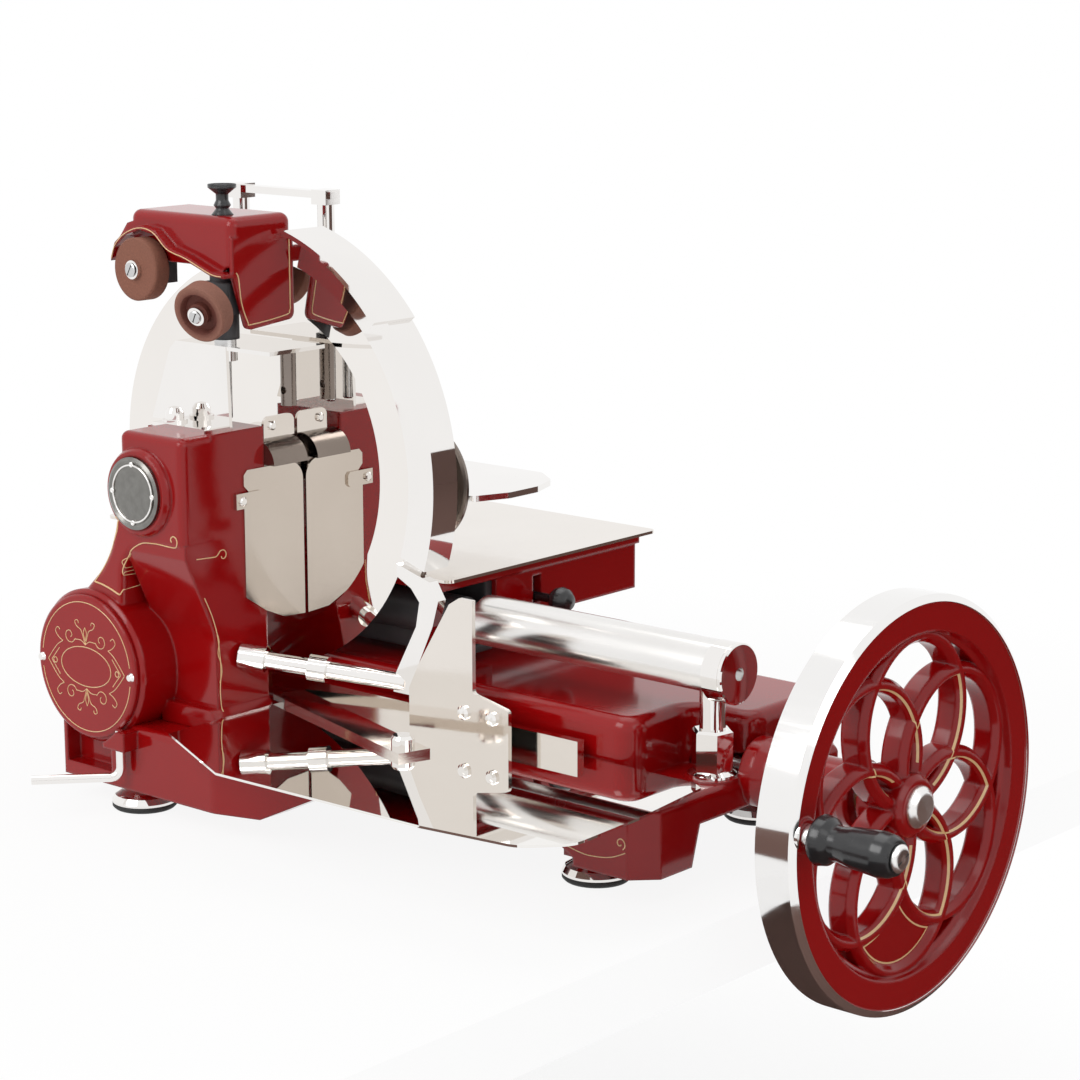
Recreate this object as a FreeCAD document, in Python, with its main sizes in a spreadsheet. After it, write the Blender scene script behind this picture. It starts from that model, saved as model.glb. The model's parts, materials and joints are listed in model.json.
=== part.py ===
import FreeCAD, Part
import Sketcher
import math
import os
import re

# Hand crank (flywheel) meat slicer.  Millimetres, +Z up, +X along the main shaft to the
# flywheel, +Y from the slice side to the meat side.  The origin is the centre of the
# underside of the front foot nearest the flywheel.

V = FreeCAD.Vector
doc = FreeCAD.newDocument("hand_crank_slicer")
sheet = doc.addObject("Spreadsheet::Sheet", "dims")

SIZES = {
    # knife
    "knife_x": -296, "knife_y": 18, "knife_z": 216, "knife_radius": 132.5,
    "knife_bevel_radius": 106.5, "knife_thick": 3.6, "knife_tip": 0.5, "knife_hub_radius": 24,
    "knife_hub_thick": 4, "arbor_radius": 8, "run_gap": 0.05,
    "knife_clear": 8.2, "badge_drop": 5, "bush_radius": 12,
    # column with the chain case
    "chain_y": -40, "head_round": 5,
    "front_y": -90, "head_left": 20, "head_right": 38, "head_top": 32,
    "head_bottom": 39, "drum_x": -345, "drum_z": 91.7, "drum_radius": 50,
    "drum_front_y": -94, "cover_radius": 47, "cover_thick": 4, "cover_screw_radius": 3,
    "cover_screw_circle": 43, "wall_back_y": -20, "wall_front_y": -65,
    "badge_radius": 23, "badge_thick": 7, "bezel_radius": 29,
    # base casting
    "base_bottom": 15, "base_top": 58, "base_wall": 6, "base_right_x": 59,
    "base_front_y": -27, "base_back_y": 178,
    "hump_top": 94, "hump_wall": 4, "hump_front_y": 20, "hump_left_x": -374, "hump_back_y": 165,
    "notch_x": 10, "notch_y": 78, "arch_height": 40, "bed_round": 5,
    "hump_corner": 14, "hump_round": 8, "lever_x": -312, "lever_y": -100, "lever_top": 44,
    "lever_radius": 3, "bulkhead_x": -312, "bulkhead_thick": 10,
    # feet
    "foot_front_x": 0, "foot_front_y": 0, "foot_back_y": 160, "foot_left_x": -316,
    "foot_left_y": -77, "foot_radius": 21, "foot_neck_radius": 11, "foot_height": 15,
    "pad_thick": 4, "pad_inset": 1.5,
    # main shaft and flywheel
    "shaft_y": 85, "shaft_z": 58.5, "shaft_radius": 9, "wheel_x": 145.5, "wheel_width": 25.5,
    "wheel_radius": 124.4, "rim_bevel": 3, "face_radius": 120.3, "face_inner_radius": 98,
    "rim_thick": 10, "petal_ring_radius": 50, "petal_rib": 4.6,
    "petal_turn": 25, "rib_setback": 3.5, "rib_depth": 17, "fan_recess": 4,
    "shaft_start_x": -339, "hub_radius": 19, "hub_length": 32, "hub_cap_radius": 13,
    "hub_cap_height": 6,
    "housing_radius": 18, "housing_mouth_radius": 22, "housing_end_x": 134,
    # crank handle
    "pin_circle": 112, "pin_turn": 175, "pin_radius": 4, "pin_length": 86, "grip_start": 9,
    "grip_length": 51, "grip_radius": 13, "grip_flange_radius": 14.5, "grip_neck_radius": 9, "grip_gap": 0.3,
    "boss_radius": 10,
    # slide rail
    "rail_y": 58, "rail_z": 124.4, "rail_rod_radius": 9, "cover_radius_out": 18.2, "cover_wall": 1.2,
    "cover_drop": 10, "cover_start_x": -138, "cover_end_x": 46, "collar_length": 12,
    "collar_radius": 18.7, "end_cap_thick": 3, "end_cap_x": 58, "rail_start_x": -300,
    "post_x": 41.4, "post_neck_radius": 8, "hex_radius": 13, "hex_bottom": 63, "hex_top": 88,
    "washer_radius": 15, "post_boss_radius": 17,
    # guard round the knife edge
    "guard_inner": 137, "guard_outer": 158, "guard_wall": 3, "guard_depth": 22,
    "guard_back_y": 30, "guard_start": -19, "guard_end": 72, "cap_depth": 36,
    "cap_start": 40, "cap_end": 74,
    "ring_band": 3, "arm_front_y": 4, "arm_thick": 7, "clamp_thick": 4,
    # gears and chain inside
    "gear_big": 20, "gear_small": 10, "gear_slack": 0.6, "cross_radius": 5, "sprocket_width": 8,
    "sprocket_low": 20, "sprocket_high": 10, "chain_thick": 3, "case_gap": 2.5, "chain_width": 6,
    "chain_left_turn": 159.24, "chain_right_turn": -13.8,
    "cross_rod_left_y": -44, "cross_rod_left_z": 103,
    # tray
    "tray_bolt_radius": 4, "bar_top": 13, "brace_turn": -17, "brace_reach": 150,
    "tray_z": 66, "tray_thick": 1.5, "tray_bolt_x": -114, "tray_bolt_y": -47,
    "rail_bar_y": 8, "rail_bar_thick": 6, "rail_bar_height": 11,
    # gauge plate
    "gauge_y": -4, "gauge_thick": 3,
    # deflector
    "deflector_thick": 1.2, "deflector_back_y": 13, "deflector_edge_y": -39, "deflector_top": 222,
    "nose_x": -264, "nose_z": 222.7, "nose_radius": 15.3,
    "cross_rod_radius": 5.5, "cross_rod_z": 91,
    # carriage, table and clamp
    "sleeve_start_x": -284, "sleeve_length": 126, "lever_slot_y": 124, "lever_slot_z": 133,
    "lever_ball_z": 128,
    "screw_radius": 4, "screw_slot_width": 24,
    "deck_bottom": 147, "deck_top": 153, "carriage_right_x": -152, "carriage_left_x": -400,
    "carriage_near_y": 30, "carriage_far_y": 226, "skirt_near_y": 84, "skirt_bottom": 116,
    "sleeve_radius": 14, "table_thick": 2, "table_near_y": 30, "table_far_y": 240,
    "table_right_x": -146, "table_left_x": -470, "clamp_y": 143, "leg_inset": 24,
    "leg_span": 84, "leg_radius": 6, "frame_top": 376, "clamp_z": 186, "grip_disc_x": -183,
    "grip_disc_y": 46, "grip_disc_z": 212, "grip_disc_radius": 39, "grip_disc_thick": 3,
    "feed_knob_x": -200, "feed_knob_z": 128, "feed_knob_radius": 22,
    # sharpener
    "hood_right_x": -257, "hood_left_x": -352, "hood_front_y": -44, "hood_back_y": 8,
    "hood_top": 381, "hood_side_bottom": 310, "hood_bottom": 350, "hood_wall": 3,
    "spindle_x": -278, "spindle_y": -32, "spindle_radius": 3.5, "stone_x": -332, "stone_z": 345,
    "swing_gap": 0.3, "stone_pin_radius": 3, "cup_y": -59, "cup_turn": 11, "cup_tilt": 17,
    "knob_height": 19, "hood_round": 6,
    "lever_low_z": 25, "lever_reach": 56.6, "lever_bend": 7, "lever_turn": 227.9,
    "flange_thick": 2.5,
    "stone_radius": 20, "stone_front_y": -58, "cup_x": -268, "cup_z": 324,
    "cup_radius": 18.5, "stand_y": -40, "stand_thick": 2.5, "stand_top": 300,
}

for row, (name, size) in enumerate(SIZES.items(), 1):
    sheet.set("A%d" % row, name)
    sheet.set("B%d" % row, str(size))
    sheet.setAlias("B%d" % row, name)
doc.recompute()

WORD = re.compile(r"[a-z][a-z_0-9]*")
FACING = {
    "up": FreeCAD.Rotation(),
    "down": FreeCAD.Rotation(V(1, 0, 0), 180),
    "front": FreeCAD.Rotation(V(1, 0, 0), 90),
    "back": FreeCAD.Rotation(V(0, 1, 1), 180),
    "right": FreeCAD.Rotation(V(1, 1, 1), 120),
    "left": FreeCAD.Rotation(V(0, -1, 0), 90),
}
parts = []
small_screws = []


def formula(text):
    """Spreadsheet formula for a size given in words."""
    return WORD.sub(lambda m: "dims." + m.group(0) if m.group(0) in SIZES else m.group(0), str(text))


def value(text):
    """Number that a formula has now."""
    return float(sheet.evalExpression(formula(text)))


def bind(thing, path, text):
    thing.setExpression(path, formula(text))


def place(thing, at, facing="up"):
    """Put an object at a point given by three formulas, turned to its facing."""
    turn = FACING[facing] if isinstance(facing, str) else facing
    thing.Placement = FreeCAD.Placement(V(*[value(c) for c in at]), turn)
    for axis, coordinate in zip("xyz", at):
        bind(thing, ".Placement.Base." + axis, coordinate)
    return thing


def name_part(thing, label):
    """Label a finished piece and list it for export."""
    thing.Label = label
    parts.append(thing)
    return thing


def new_body(name):
    body = doc.addObject("PartDesign::Body", name)
    doc.recompute()
    return body


def origin_plane(body, role):
    return [f for f in body.Origin.OriginFeatures if f.Role == role][0]


def new_sketch(body, role="XY_Plane", level=0):
    sketch = body.newObject("Sketcher::SketchObject", body.Name + "_sketch")
    sketch.AttachmentSupport = [(origin_plane(body, role), "")]
    sketch.MapMode = "FlatFace"
    sketch.AttachmentOffset = FreeCAD.Placement(V(0, 0, value(level)), FreeCAD.Rotation())
    bind(sketch, ".AttachmentOffset.Base.z", level)
    return sketch


def pin_point(sketch, geo, which, x, y):
    """Tie one sketch point to two formulas."""
    for kind, text, axis in (("DistanceX", x, -2), ("DistanceY", y, -1)):
        if abs(value(text)) < 1e-6:
            sketch.addConstraint(Sketcher.Constraint("PointOnObject", geo, which, axis))
        else:
            index = sketch.addConstraint(Sketcher.Constraint(kind, -1, 1, geo, which, value(text)))
            sketch.setExpression("Constraints[%d]" % index, formula(text))


def draw_outline(sketch, points):
    """Closed outline of straight lines through points given as pairs of formulas."""
    spots = [V(value(x), value(y), 0) for x, y in points]
    count = len(spots)
    first = sketch.GeometryCount
    for i in range(count):
        sketch.addGeometry(Part.LineSegment(spots[i], spots[(i + 1) % count]), False)
    for i in range(count):
        sketch.addConstraint(Sketcher.Constraint("Coincident", first + i, 2, first + (i + 1) % count, 1))
    for i, (x, y) in enumerate(points):
        pin_point(sketch, first + i, 1, x, y)
    return sketch


def draw_circle(sketch, x, y, radius):
    geo = sketch.addGeometry(Part.Circle(V(value(x), value(y), 0), V(0, 0, 1), value(radius)), False)
    pin_point(sketch, geo, 3, x, y)
    index = sketch.addConstraint(Sketcher.Constraint("Radius", geo, value(radius)))
    sketch.setExpression("Constraints[%d]" % index, formula(radius))
    return sketch


def pad(body, sketch, length, reverse=False):
    feature = body.newObject("PartDesign::Pad", body.Name + "_pad")
    feature.Profile = sketch
    feature.Reversed = reverse
    bind(feature, "Length", length)
    doc.recompute()
    return feature


def fillet(body, radius, wanted, kind="Fillet"):
    """Round (or chamfer) the edges of the body that the test wants."""
    base = body.Tip
    names = ["Edge%d" % i for i, e in enumerate(base.Shape.Edges, 1) if wanted(e)]
    if not names:
        return base
    feature = body.newObject("PartDesign::" + kind, body.Name + "_edge")
    feature.Base = (base, names)
    bind(feature, "Radius" if kind == "Fillet" else "Size", radius)
    doc.recompute()
    return feature


def upright(edge):
    """True for a straight edge along the pad direction."""
    if len(edge.Vertexes) != 2:
        return False
    a, b = [v.Point for v in edge.Vertexes]
    return abs(a.x - b.x) + abs(a.y - b.y) < 1e-4 and abs(a.z - b.z) > 1e-3


def corner_at(points):
    """Test for upright edges at the given local points."""
    spots = [(value(x), value(y)) for x, y in points]

    def wanted(edge):
        if not upright(edge):
            return False
        p = edge.Vertexes[0].Point
        return any(math.hypot(p.x - x, p.y - y) < 0.05 for x, y in spots)
    return wanted


def at_height(level):
    """Test for edges that lie flat at one local height."""
    z = value(level)
    return lambda e: abs(e.BoundBox.ZMin - z) < 1e-3 and abs(e.BoundBox.ZMax - z) < 1e-3


def swung(facing, degrees, axis=V(0, 0, 1), inside=False):
    """A facing turned further: about a fixed axis, or about its own axis when inside."""
    extra = FreeCAD.Rotation(axis, value(degrees))
    return FACING[facing].multiply(extra) if inside else extra.multiply(FACING[facing])


def turned(name, points, at, facing="up", sweep=360):
    """Piece turned about its local Z axis from (radius, height) pairs."""
    body = new_body(name)
    sketch = new_sketch(body, "XZ_Plane")
    draw_outline(sketch, points)
    feature = body.newObject("PartDesign::Revolution", name + "_turn")
    feature.Profile = sketch
    feature.ReferenceAxis = (sketch, ["V_Axis"])
    bind(feature, "Angle", sweep)
    doc.recompute()
    return place(body, at, facing)


def plate(name, points, thick, at, facing="up", holes=()):
    """Flat piece from an outline, with round holes (x, y, radius)."""
    body = new_body(name)
    sketch = new_sketch(body)
    draw_outline(sketch, points)
    for hole in holes:
        draw_circle(sketch, *hole)
    pad(body, sketch, thick)
    return place(body, at, facing)


def rod(name, radius, length, at, facing="up"):
    piece = doc.addObject("Part::Cylinder", name)
    bind(piece, "Radius", radius)
    bind(piece, "Height", length)
    doc.recompute()
    return place(piece, at, facing)


def box(name, size, at):
    piece = doc.addObject("Part::Box", name)
    for side, text in zip(("Length", "Width", "Height"), size):
        bind(piece, side, text)
    doc.recompute()
    return place(piece, at)


def join(name, pieces):
    fused = doc.addObject("Part::MultiFuse", name)
    fused.Shapes = pieces
    doc.recompute()
    return fused


def cut(name, base, tool):
    result = doc.addObject("Part::Cut", name)
    result.Base = base
    result.Tool = tool
    doc.recompute()
    return result


# ---------------------------------------------------------------- flywheel and crank

def petal_ring(index):
    """One of the six rib rings whose crossings draw the petals."""
    turn = "(petal_turn + %d * 60)" % index
    spot = ("wheel_x + rib_setback", "shaft_y + petal_ring_radius * cos(%s)" % turn,
            "shaft_z + petal_ring_radius * sin(%s)" % turn)
    return turned("petal_ring_%d" % index, [
        ("petal_ring_radius - petal_rib", "2"), ("petal_ring_radius - petal_rib + 1.5", "0"),
        ("petal_ring_radius + petal_rib - 1.5", "0"), ("petal_ring_radius + petal_rib", "2"),
        ("petal_ring_radius + petal_rib", "rib_depth - 4"),
        ("petal_ring_radius + 1.5", "rib_depth"), ("petal_ring_radius - 1.5", "rib_depth"),
        ("petal_ring_radius - petal_rib", "rib_depth - 4")], spot, "right")


def balance_fan():
    """Solid fan that balances the handle: one ring filled between its two neighbours."""
    discs = []
    for index in (4, 3, 5):
        turn = "(petal_turn + %d * 60)" % index
        discs.append(rod("fan_disc_%d" % index, "petal_ring_radius",
            "rib_depth + %d" % (0 if index == 4 else 8), (
            "wheel_x + rib_setback - %d" % (0 if index == 4 else 4),
            "shaft_y + petal_ring_radius * cos(%s)" % turn,
            "shaft_z + petal_ring_radius * sin(%s)" % turn), "right"))
    bind(discs[0], "Height", "rib_depth - fan_recess")
    return cut("balance_fan", cut("fan_side", discs[0], discs[1]), discs[2])


def flywheel():
    rim = turned("wheel_rim", [
        ("wheel_radius", "0"), ("wheel_radius", "wheel_width - rim_bevel"),
        ("face_radius", "wheel_width"), ("face_radius", "wheel_width - 1.5"),
        ("face_inner_radius + 5", "wheel_width - 1.5"), ("face_inner_radius + 3", "wheel_width - 6"),
        ("face_inner_radius", "wheel_width - 7.5"), ("face_inner_radius", "7.5"),
        ("face_inner_radius + 3", "6"), ("wheel_radius - rim_thick", "0")],
        ("wheel_x", "shaft_y", "shaft_z"), "right")
    hub = turned("wheel_hub", [
        ("shaft_radius", "-4"), ("hub_radius + 2", "-4"), ("hub_radius", "4"),
        ("hub_radius", "hub_length - 10"), ("hub_radius - 3", "hub_length - 7"),
        ("shaft_radius", "hub_length - 7")], ("wheel_x", "shaft_y", "shaft_z"), "right")
    boss = rod("pin_boss", "boss_radius", "wheel_width + 1", pin_spot("wheel_x"), "right")
    blank = join("wheel_blank", [rim, hub, boss, balance_fan()] + [petal_ring(i) for i in range(6)])
    bores = join("wheel_bores", [
        rod("wheel_bore", "shaft_radius", "hub_length + 20", ("wheel_x - 10", "shaft_y", "shaft_z"),
            "right"),
        rod("pin_bore", "pin_radius", "wheel_width + 20", pin_spot("wheel_x - 10"), "right")])
    return name_part(cut("wheel_bored", blank, bores), "flywheel")


def pin_spot(x):
    """Point on the crank pin's axis."""
    return (x, "shaft_y + pin_circle * cos(pin_turn)", "shaft_z + pin_circle * sin(pin_turn)")


def crank():
    name_part(rod("shaft", "shaft_radius", "wheel_x + hub_length - 7 - shaft_start_x",
                  ("shaft_start_x", "shaft_y", "shaft_z"), "right"), "main_shaft")
    name_part(turned("hub_dome", [
        ("0", "0"), ("hub_cap_radius", "0"), ("hub_cap_radius - 0.5", "2"),
        ("hub_cap_radius - 4", "hub_cap_height - 1"), ("0", "hub_cap_height")],
        ("wheel_x + hub_length - 7", "shaft_y", "shaft_z"), "right"), "hub_cap")
    name_part(turned("pin", [
        ("0", "0"), ("pin_radius", "0"), ("pin_radius", "wheel_width + 1"),
        ("pin_radius + 3", "wheel_width + 1"), ("pin_radius + 3", "wheel_width + 5"),
        ("pin_radius", "wheel_width + 6"), ("pin_radius", "pin_length"), ("pin_radius + 4", "pin_length"),
        ("pin_radius + 4", "pin_length + 1.5"), ("pin_radius + 2", "pin_length + 3"),
        ("0", "pin_length + 3.5")],
        pin_spot("wheel_x"), "right"), "handle_pin")
    name_part(turned("grip", [
        ("pin_radius + grip_gap", "0"), ("grip_flange_radius - 1", "0"), ("grip_flange_radius", "2"),
        ("grip_flange_radius - 1", "7"), ("grip_neck_radius + 1", "11"), ("grip_neck_radius + 1", "15"),
        ("grip_radius - 1.5", "grip_length * 0.45"), ("grip_radius", "grip_length * 0.8"),
        ("grip_radius - 1", "grip_length - 4"), ("grip_radius - 3", "grip_length"),
        ("pin_radius + grip_gap", "grip_length")],
        pin_spot("wheel_x + wheel_width + grip_start"), "right"), "handle_grip")


# ---------------------------------------------------------------- knife

def knife():
    name_part(turned("knife_disc", [
        ("arbor_radius", "0"), ("knife_radius - 0.5", "0"), ("knife_radius", "knife_tip"),
        ("knife_bevel_radius", "knife_thick"), ("knife_hub_radius + 2", "knife_thick"),
        ("knife_hub_radius", "knife_thick + knife_hub_thick"),
        ("arbor_radius", "knife_thick + knife_hub_thick")],
        ("knife_x", "knife_y", "knife_z"), "front"), "knife")
    name_part(rod("arbor", "arbor_radius", "knife_y - front_y - 4", ("knife_x", "knife_y", "knife_z"),
        "front"),
              "knife_arbor")


# ---------------------------------------------------------------- base casting

def base_blank():
    """Outside of the casting: bed, gear hump, shaft housing, post boss and drum block."""
    bed = plate("bed", [
        ("hump_left_x", "drum_front_y"), ("knife_x + 63", "drum_front_y"), ("-128", "-62"),
        ("-36", "base_front_y"), ("base_right_x - 14", "base_front_y"),
        ("base_right_x", "base_front_y + 14"),
        ("base_right_x", "base_back_y - 14"), ("base_right_x - 14", "base_back_y"),
        ("hump_left_x + 20", "base_back_y"), ("hump_left_x", "base_back_y - 20")],
        "base_top - base_bottom", ("0", "0", "base_bottom"))
    fillet(bed, "18", corner_at([("knife_x + 63", "drum_front_y"), ("-128", "-62"),
        ("-36", "base_front_y")]))
    fillet(bed, "bed_round", at_height("base_top - base_bottom"))
    hump = plate("hump", [
        ("hump_left_x", "hump_front_y"), ("notch_x", "hump_front_y"), ("notch_x", "notch_y"),
        ("base_right_x - 3", "notch_y"), ("base_right_x - 3", "hump_back_y"),
        ("hump_left_x", "hump_back_y")],
        "hump_top - base_top + 4", ("0", "0", "base_top - 4"))
    fillet(hump, "hump_corner", corner_at([
        ("hump_left_x", "hump_front_y"), ("notch_x", "hump_front_y"), ("notch_x", "notch_y"),
        ("base_right_x - 3", "notch_y"), ("base_right_x - 3", "hump_back_y"),
        ("hump_left_x", "hump_back_y")]))
    fillet(hump, "hump_round", at_height("hump_top - base_top + 4"))
    housing = turned("shaft_housing_blank", [
        ("0", "-2"), ("housing_mouth_radius", "-2"), ("housing_mouth_radius", "6"),
        ("housing_radius + 1", "14"), ("housing_radius", "24"),
        ("housing_radius", "housing_end_x - base_right_x - 10"),
        ("housing_radius + 3", "housing_end_x - base_right_x - 8"),
        ("housing_radius + 3", "housing_end_x - base_right_x - 2"),
        ("housing_radius + 1", "housing_end_x - base_right_x"), ("0", "housing_end_x - base_right_x")],
        ("base_right_x", "shaft_y", "shaft_z"), "right")
    boss = rod("post_boss", "post_boss_radius", "base_top + 1 - arch_height",
        ("post_x", "rail_y", "arch_height"))
    lug = box("lever_lug", ("20", "13", "12"), ("lever_x - 10", "drum_front_y - 12", "lever_top"))
    rear = box("rail_rest", ("10", "2 * rail_rod_radius + 10", "rail_z - hump_top + rail_rod_radius + 6"),
               ("rail_start_x", "rail_y - rail_rod_radius - 5", "hump_top - 1"))
    return join("base_blank", [bed, hump, housing, boss, lug, rear])


def base_hollow():
    """Inside of the casting, open below, with the arches between the feet."""
    under = plate("under_bed", [
        ("hump_left_x + base_wall", "drum_front_y + base_wall + 22"),
        ("knife_x + 60", "drum_front_y + base_wall + 22"),
        ("-128", "-50"), ("-36", "base_front_y + base_wall + 8"),
        ("base_right_x - 34", "base_front_y + base_wall + 8"),
        ("base_right_x - base_wall", "base_front_y + 34"), ("base_right_x - base_wall", "base_back_y - 34"),
        ("base_right_x - 34", "base_back_y - base_wall"), ("hump_left_x + 40", "base_back_y - base_wall"),
        ("hump_left_x + base_wall", "base_back_y - 40")],
        "base_top - base_wall - base_bottom + 1", ("0", "0", "base_bottom - 1"))
    gears = plate("under_hump", [
        ("hump_left_x + 6", "hump_front_y + 6"), ("notch_x - 8", "hump_front_y + 6"),
        ("notch_x - 8", "hump_back_y - 8"), ("hump_left_x + 6", "hump_back_y - 8")],
        "hump_top - hump_wall - base_top + 20", ("0", "0", "base_top - 20"))
    front = plate("front_arch", [
        ("-232", "0"), ("-150", "arch_height"), ("-30", "arch_height"), ("4", "20"), ("4", "0")],
        "200", ("0", "base_front_y + 30", "0"), "front")
    fillet(front, "20", corner_at([("-150", "arch_height"), ("-30", "arch_height")]))
    end = plate("end_arch", [
        ("foot_front_y + 12", "0"), ("foot_front_y + 24", "arch_height"),
        ("foot_back_y - 30", "arch_height"), ("foot_back_y - 18", "0")],
        "60", ("base_right_x - 30", "0", "0"), "right")
    chain = rod("chain_seat", "sprocket_low + chain_thick + case_gap", "24",
        ("drum_x", "chain_y + 12", "shaft_z"), "front")
    recess = box("block_recess", ("43", "12", "26"), ("drum_x - 26", "drum_front_y - 1", "24"))
    return join("base_hollow", [under, gears, front, end, chain, recess])


def base_casting():
    hollow = cut("base_shell", base_blank(), base_hollow())
    bulkhead = box("bulkhead", ("bulkhead_thick", "44", "hump_top - hump_wall - 40"),
                   ("bulkhead_x", "shaft_y - 22", "41"))
    cross = box("cross_web", ("44", "9", "hump_top - hump_wall - 36"),
                ("drum_x - 22", "hump_front_y + 4", "37"))
    sockets = [box("foot_socket_%d" % i, ("28", "28", "base_top - base_bottom - 6"),
                   (x + " - 14", y + " - 14", "base_bottom")) for i, (x, y) in enumerate(FEET)]
    whole = join("base_whole", [hollow, bulkhead, cross] + sockets)
    bores = join("base_bores", [
        rod("drum_seat", "drum_radius + 0.05", "wall_back_y - drum_front_y + 40",
            ("drum_x", "wall_back_y", "drum_z"), "front"),
        rod("main_bore", "bush_radius", "500", ("-330", "shaft_y", "shaft_z"), "right"),
        rod("cross_bore", "bush_radius - 1", "120", ("drum_x", "60", "shaft_z"), "front"),
        rod("rail_bore", "rail_rod_radius", "60", ("rail_start_x - 20", "rail_y", "rail_z"), "right"),
        rod("lever_bore", "lever_radius + run_gap", "60", ("lever_x", "lever_y", "lever_top - 10"))])
    return name_part(cut("base_bored", whole, bores), "base_casting")


def feet():
    cups = []
    pads = []
    for i, (x, y) in enumerate(FEET):
        cups.append(turned("cup_%d" % i, [
            ("0", "pad_thick"), ("foot_radius", "pad_thick"), ("foot_radius", "pad_thick + 1.5"),
            ("foot_radius - 2", "pad_thick + 5"), ("foot_neck_radius + 3", "foot_height - 3"),
            ("foot_neck_radius", "foot_height"), ("0", "foot_height")], (x, y, "0")))
        pads.append(turned("pad_%d" % i, [
            ("0", "0"), ("foot_radius - pad_inset", "0"), ("foot_radius", "1.5"),
            ("foot_radius", "pad_thick"),
            ("0", "pad_thick")], (x, y, "0")))
    name_part(join("cups", cups), "foot_cups")
    name_part(join("pads", pads), "foot_pads")


# ---------------------------------------------------------------- column and chain case

def column_housing():
    wall = plate("rear_wall", [
        ("drum_x - drum_radius * 0.8", "drum_z + drum_radius * 0.6"),
        ("knife_x - head_left", "knife_z - 12"),
        ("knife_x - head_left", "knife_z + head_top"), ("knife_x + head_right", "knife_z + head_top"),
        ("knife_x + head_right", "base_top"), ("drum_x", "base_top")],
        "wall_back_y - wall_front_y", ("0", "wall_back_y", "0"), "front")
    head = plate("head", [
        ("knife_x - head_left", "knife_z - head_bottom"), ("knife_x + head_right", "knife_z - head_bottom"),
        ("knife_x + head_right", "knife_z + head_top"), ("knife_x - head_left", "knife_z + head_top")],
        "wall_back_y - front_y", ("0", "wall_back_y", "0"), "front")
    fillet(head, "head_round", corner_at([
        ("knife_x - head_left", "knife_z + head_top"), ("knife_x + head_right", "knife_z + head_top"),
        ("knife_x + head_right", "knife_z - head_bottom")]))
    fillet(head, "head_round", at_height("wall_back_y - front_y"))
    neck = plate("neck", [
        ("knife_x - head_left", "knife_z - 10"), ("drum_x + 15.7", "drum_z + 71.8"),
        ("drum_x - 17", "drum_z + 41.3"),
        ("drum_x", "drum_z"), ("drum_x + 26", "drum_z + 30"), ("drum_x + 29", "knife_z - head_bottom"),
        ("knife_x + 10", "knife_z - head_bottom"), ("knife_x + 10", "knife_z - 10")],
        "wall_back_y - front_y", ("0", "wall_back_y", "0"), "front")
    fillet(neck, "60", corner_at([("drum_x + 15.7", "drum_z + 71.8")]))
    fillet(neck, "25", corner_at([("drum_x + 29", "knife_z - head_bottom")]))
    fillet(neck, "4", at_height("wall_back_y - front_y"))
    gusset = plate("gusset", [
        ("wall_front_y + 5", "100"), ("wall_front_y", "106"), ("wall_front_y - 0.5", "120"),
        ("front_y + 1", "172"),
        ("front_y + 1", "knife_z - head_bottom + 4"), ("wall_front_y + 5", "knife_z - head_bottom + 4")],
        "head_right + 18", ("knife_x - 18", "0", "0"), "right")
    fillet(gusset, "40", corner_at([("wall_front_y - 0.5", "120")]))
    drum = turned("drum", [
        ("0", "0"), ("drum_radius", "0"), ("drum_radius", "wall_back_y - drum_front_y - 2"),
        ("drum_radius - 2", "wall_back_y - drum_front_y"), ("0", "wall_back_y - drum_front_y")],
        ("drum_x", "wall_back_y", "drum_z"), "front")
    bezel = turned("bezel", [
        ("0", "-10"), ("bezel_radius", "-10"), ("bezel_radius - 1", "2"), ("badge_radius + 3", "5"),
        ("badge_radius + 0.05", "5"), ("badge_radius + 0.05", "1"), ("0", "1")],
        ("knife_x", "front_y", "knife_z - badge_drop"), "front")
    pedestal = plate("pedestal", [
        ("knife_x - 8", "base_top"), ("knife_x + head_right + 4", "base_top"),
        ("knife_x + head_right + 4", "base_top + 8"),
        ("knife_x + head_right", "base_top + 14"), ("knife_x - 8", "base_top + 14")],
        "wall_back_y - wall_front_y + 6", ("0", "wall_back_y", "0"), "front")
    blank = join("column_blank", [wall, head, neck, gusset, drum, bezel, pedestal])
    hollow = join("column_hollow", [
        chain_loop("chain_case", "(chain_thick + case_gap)", "24"),
        rod("drum_well", "drum_radius - 6", "60", ("drum_x", "chain_y - 11", "drum_z"), "front"),
        rod("arbor_way", "bush_radius - 1", "200", ("knife_x", "wall_back_y + 50", "knife_z"), "front"),
        rod("cross_way", "bush_radius - 1", "40", ("drum_x", "wall_back_y + 5", "shaft_z"), "front")])
    return name_part(cut("column_bored", blank, hollow), "column_housing")


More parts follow.
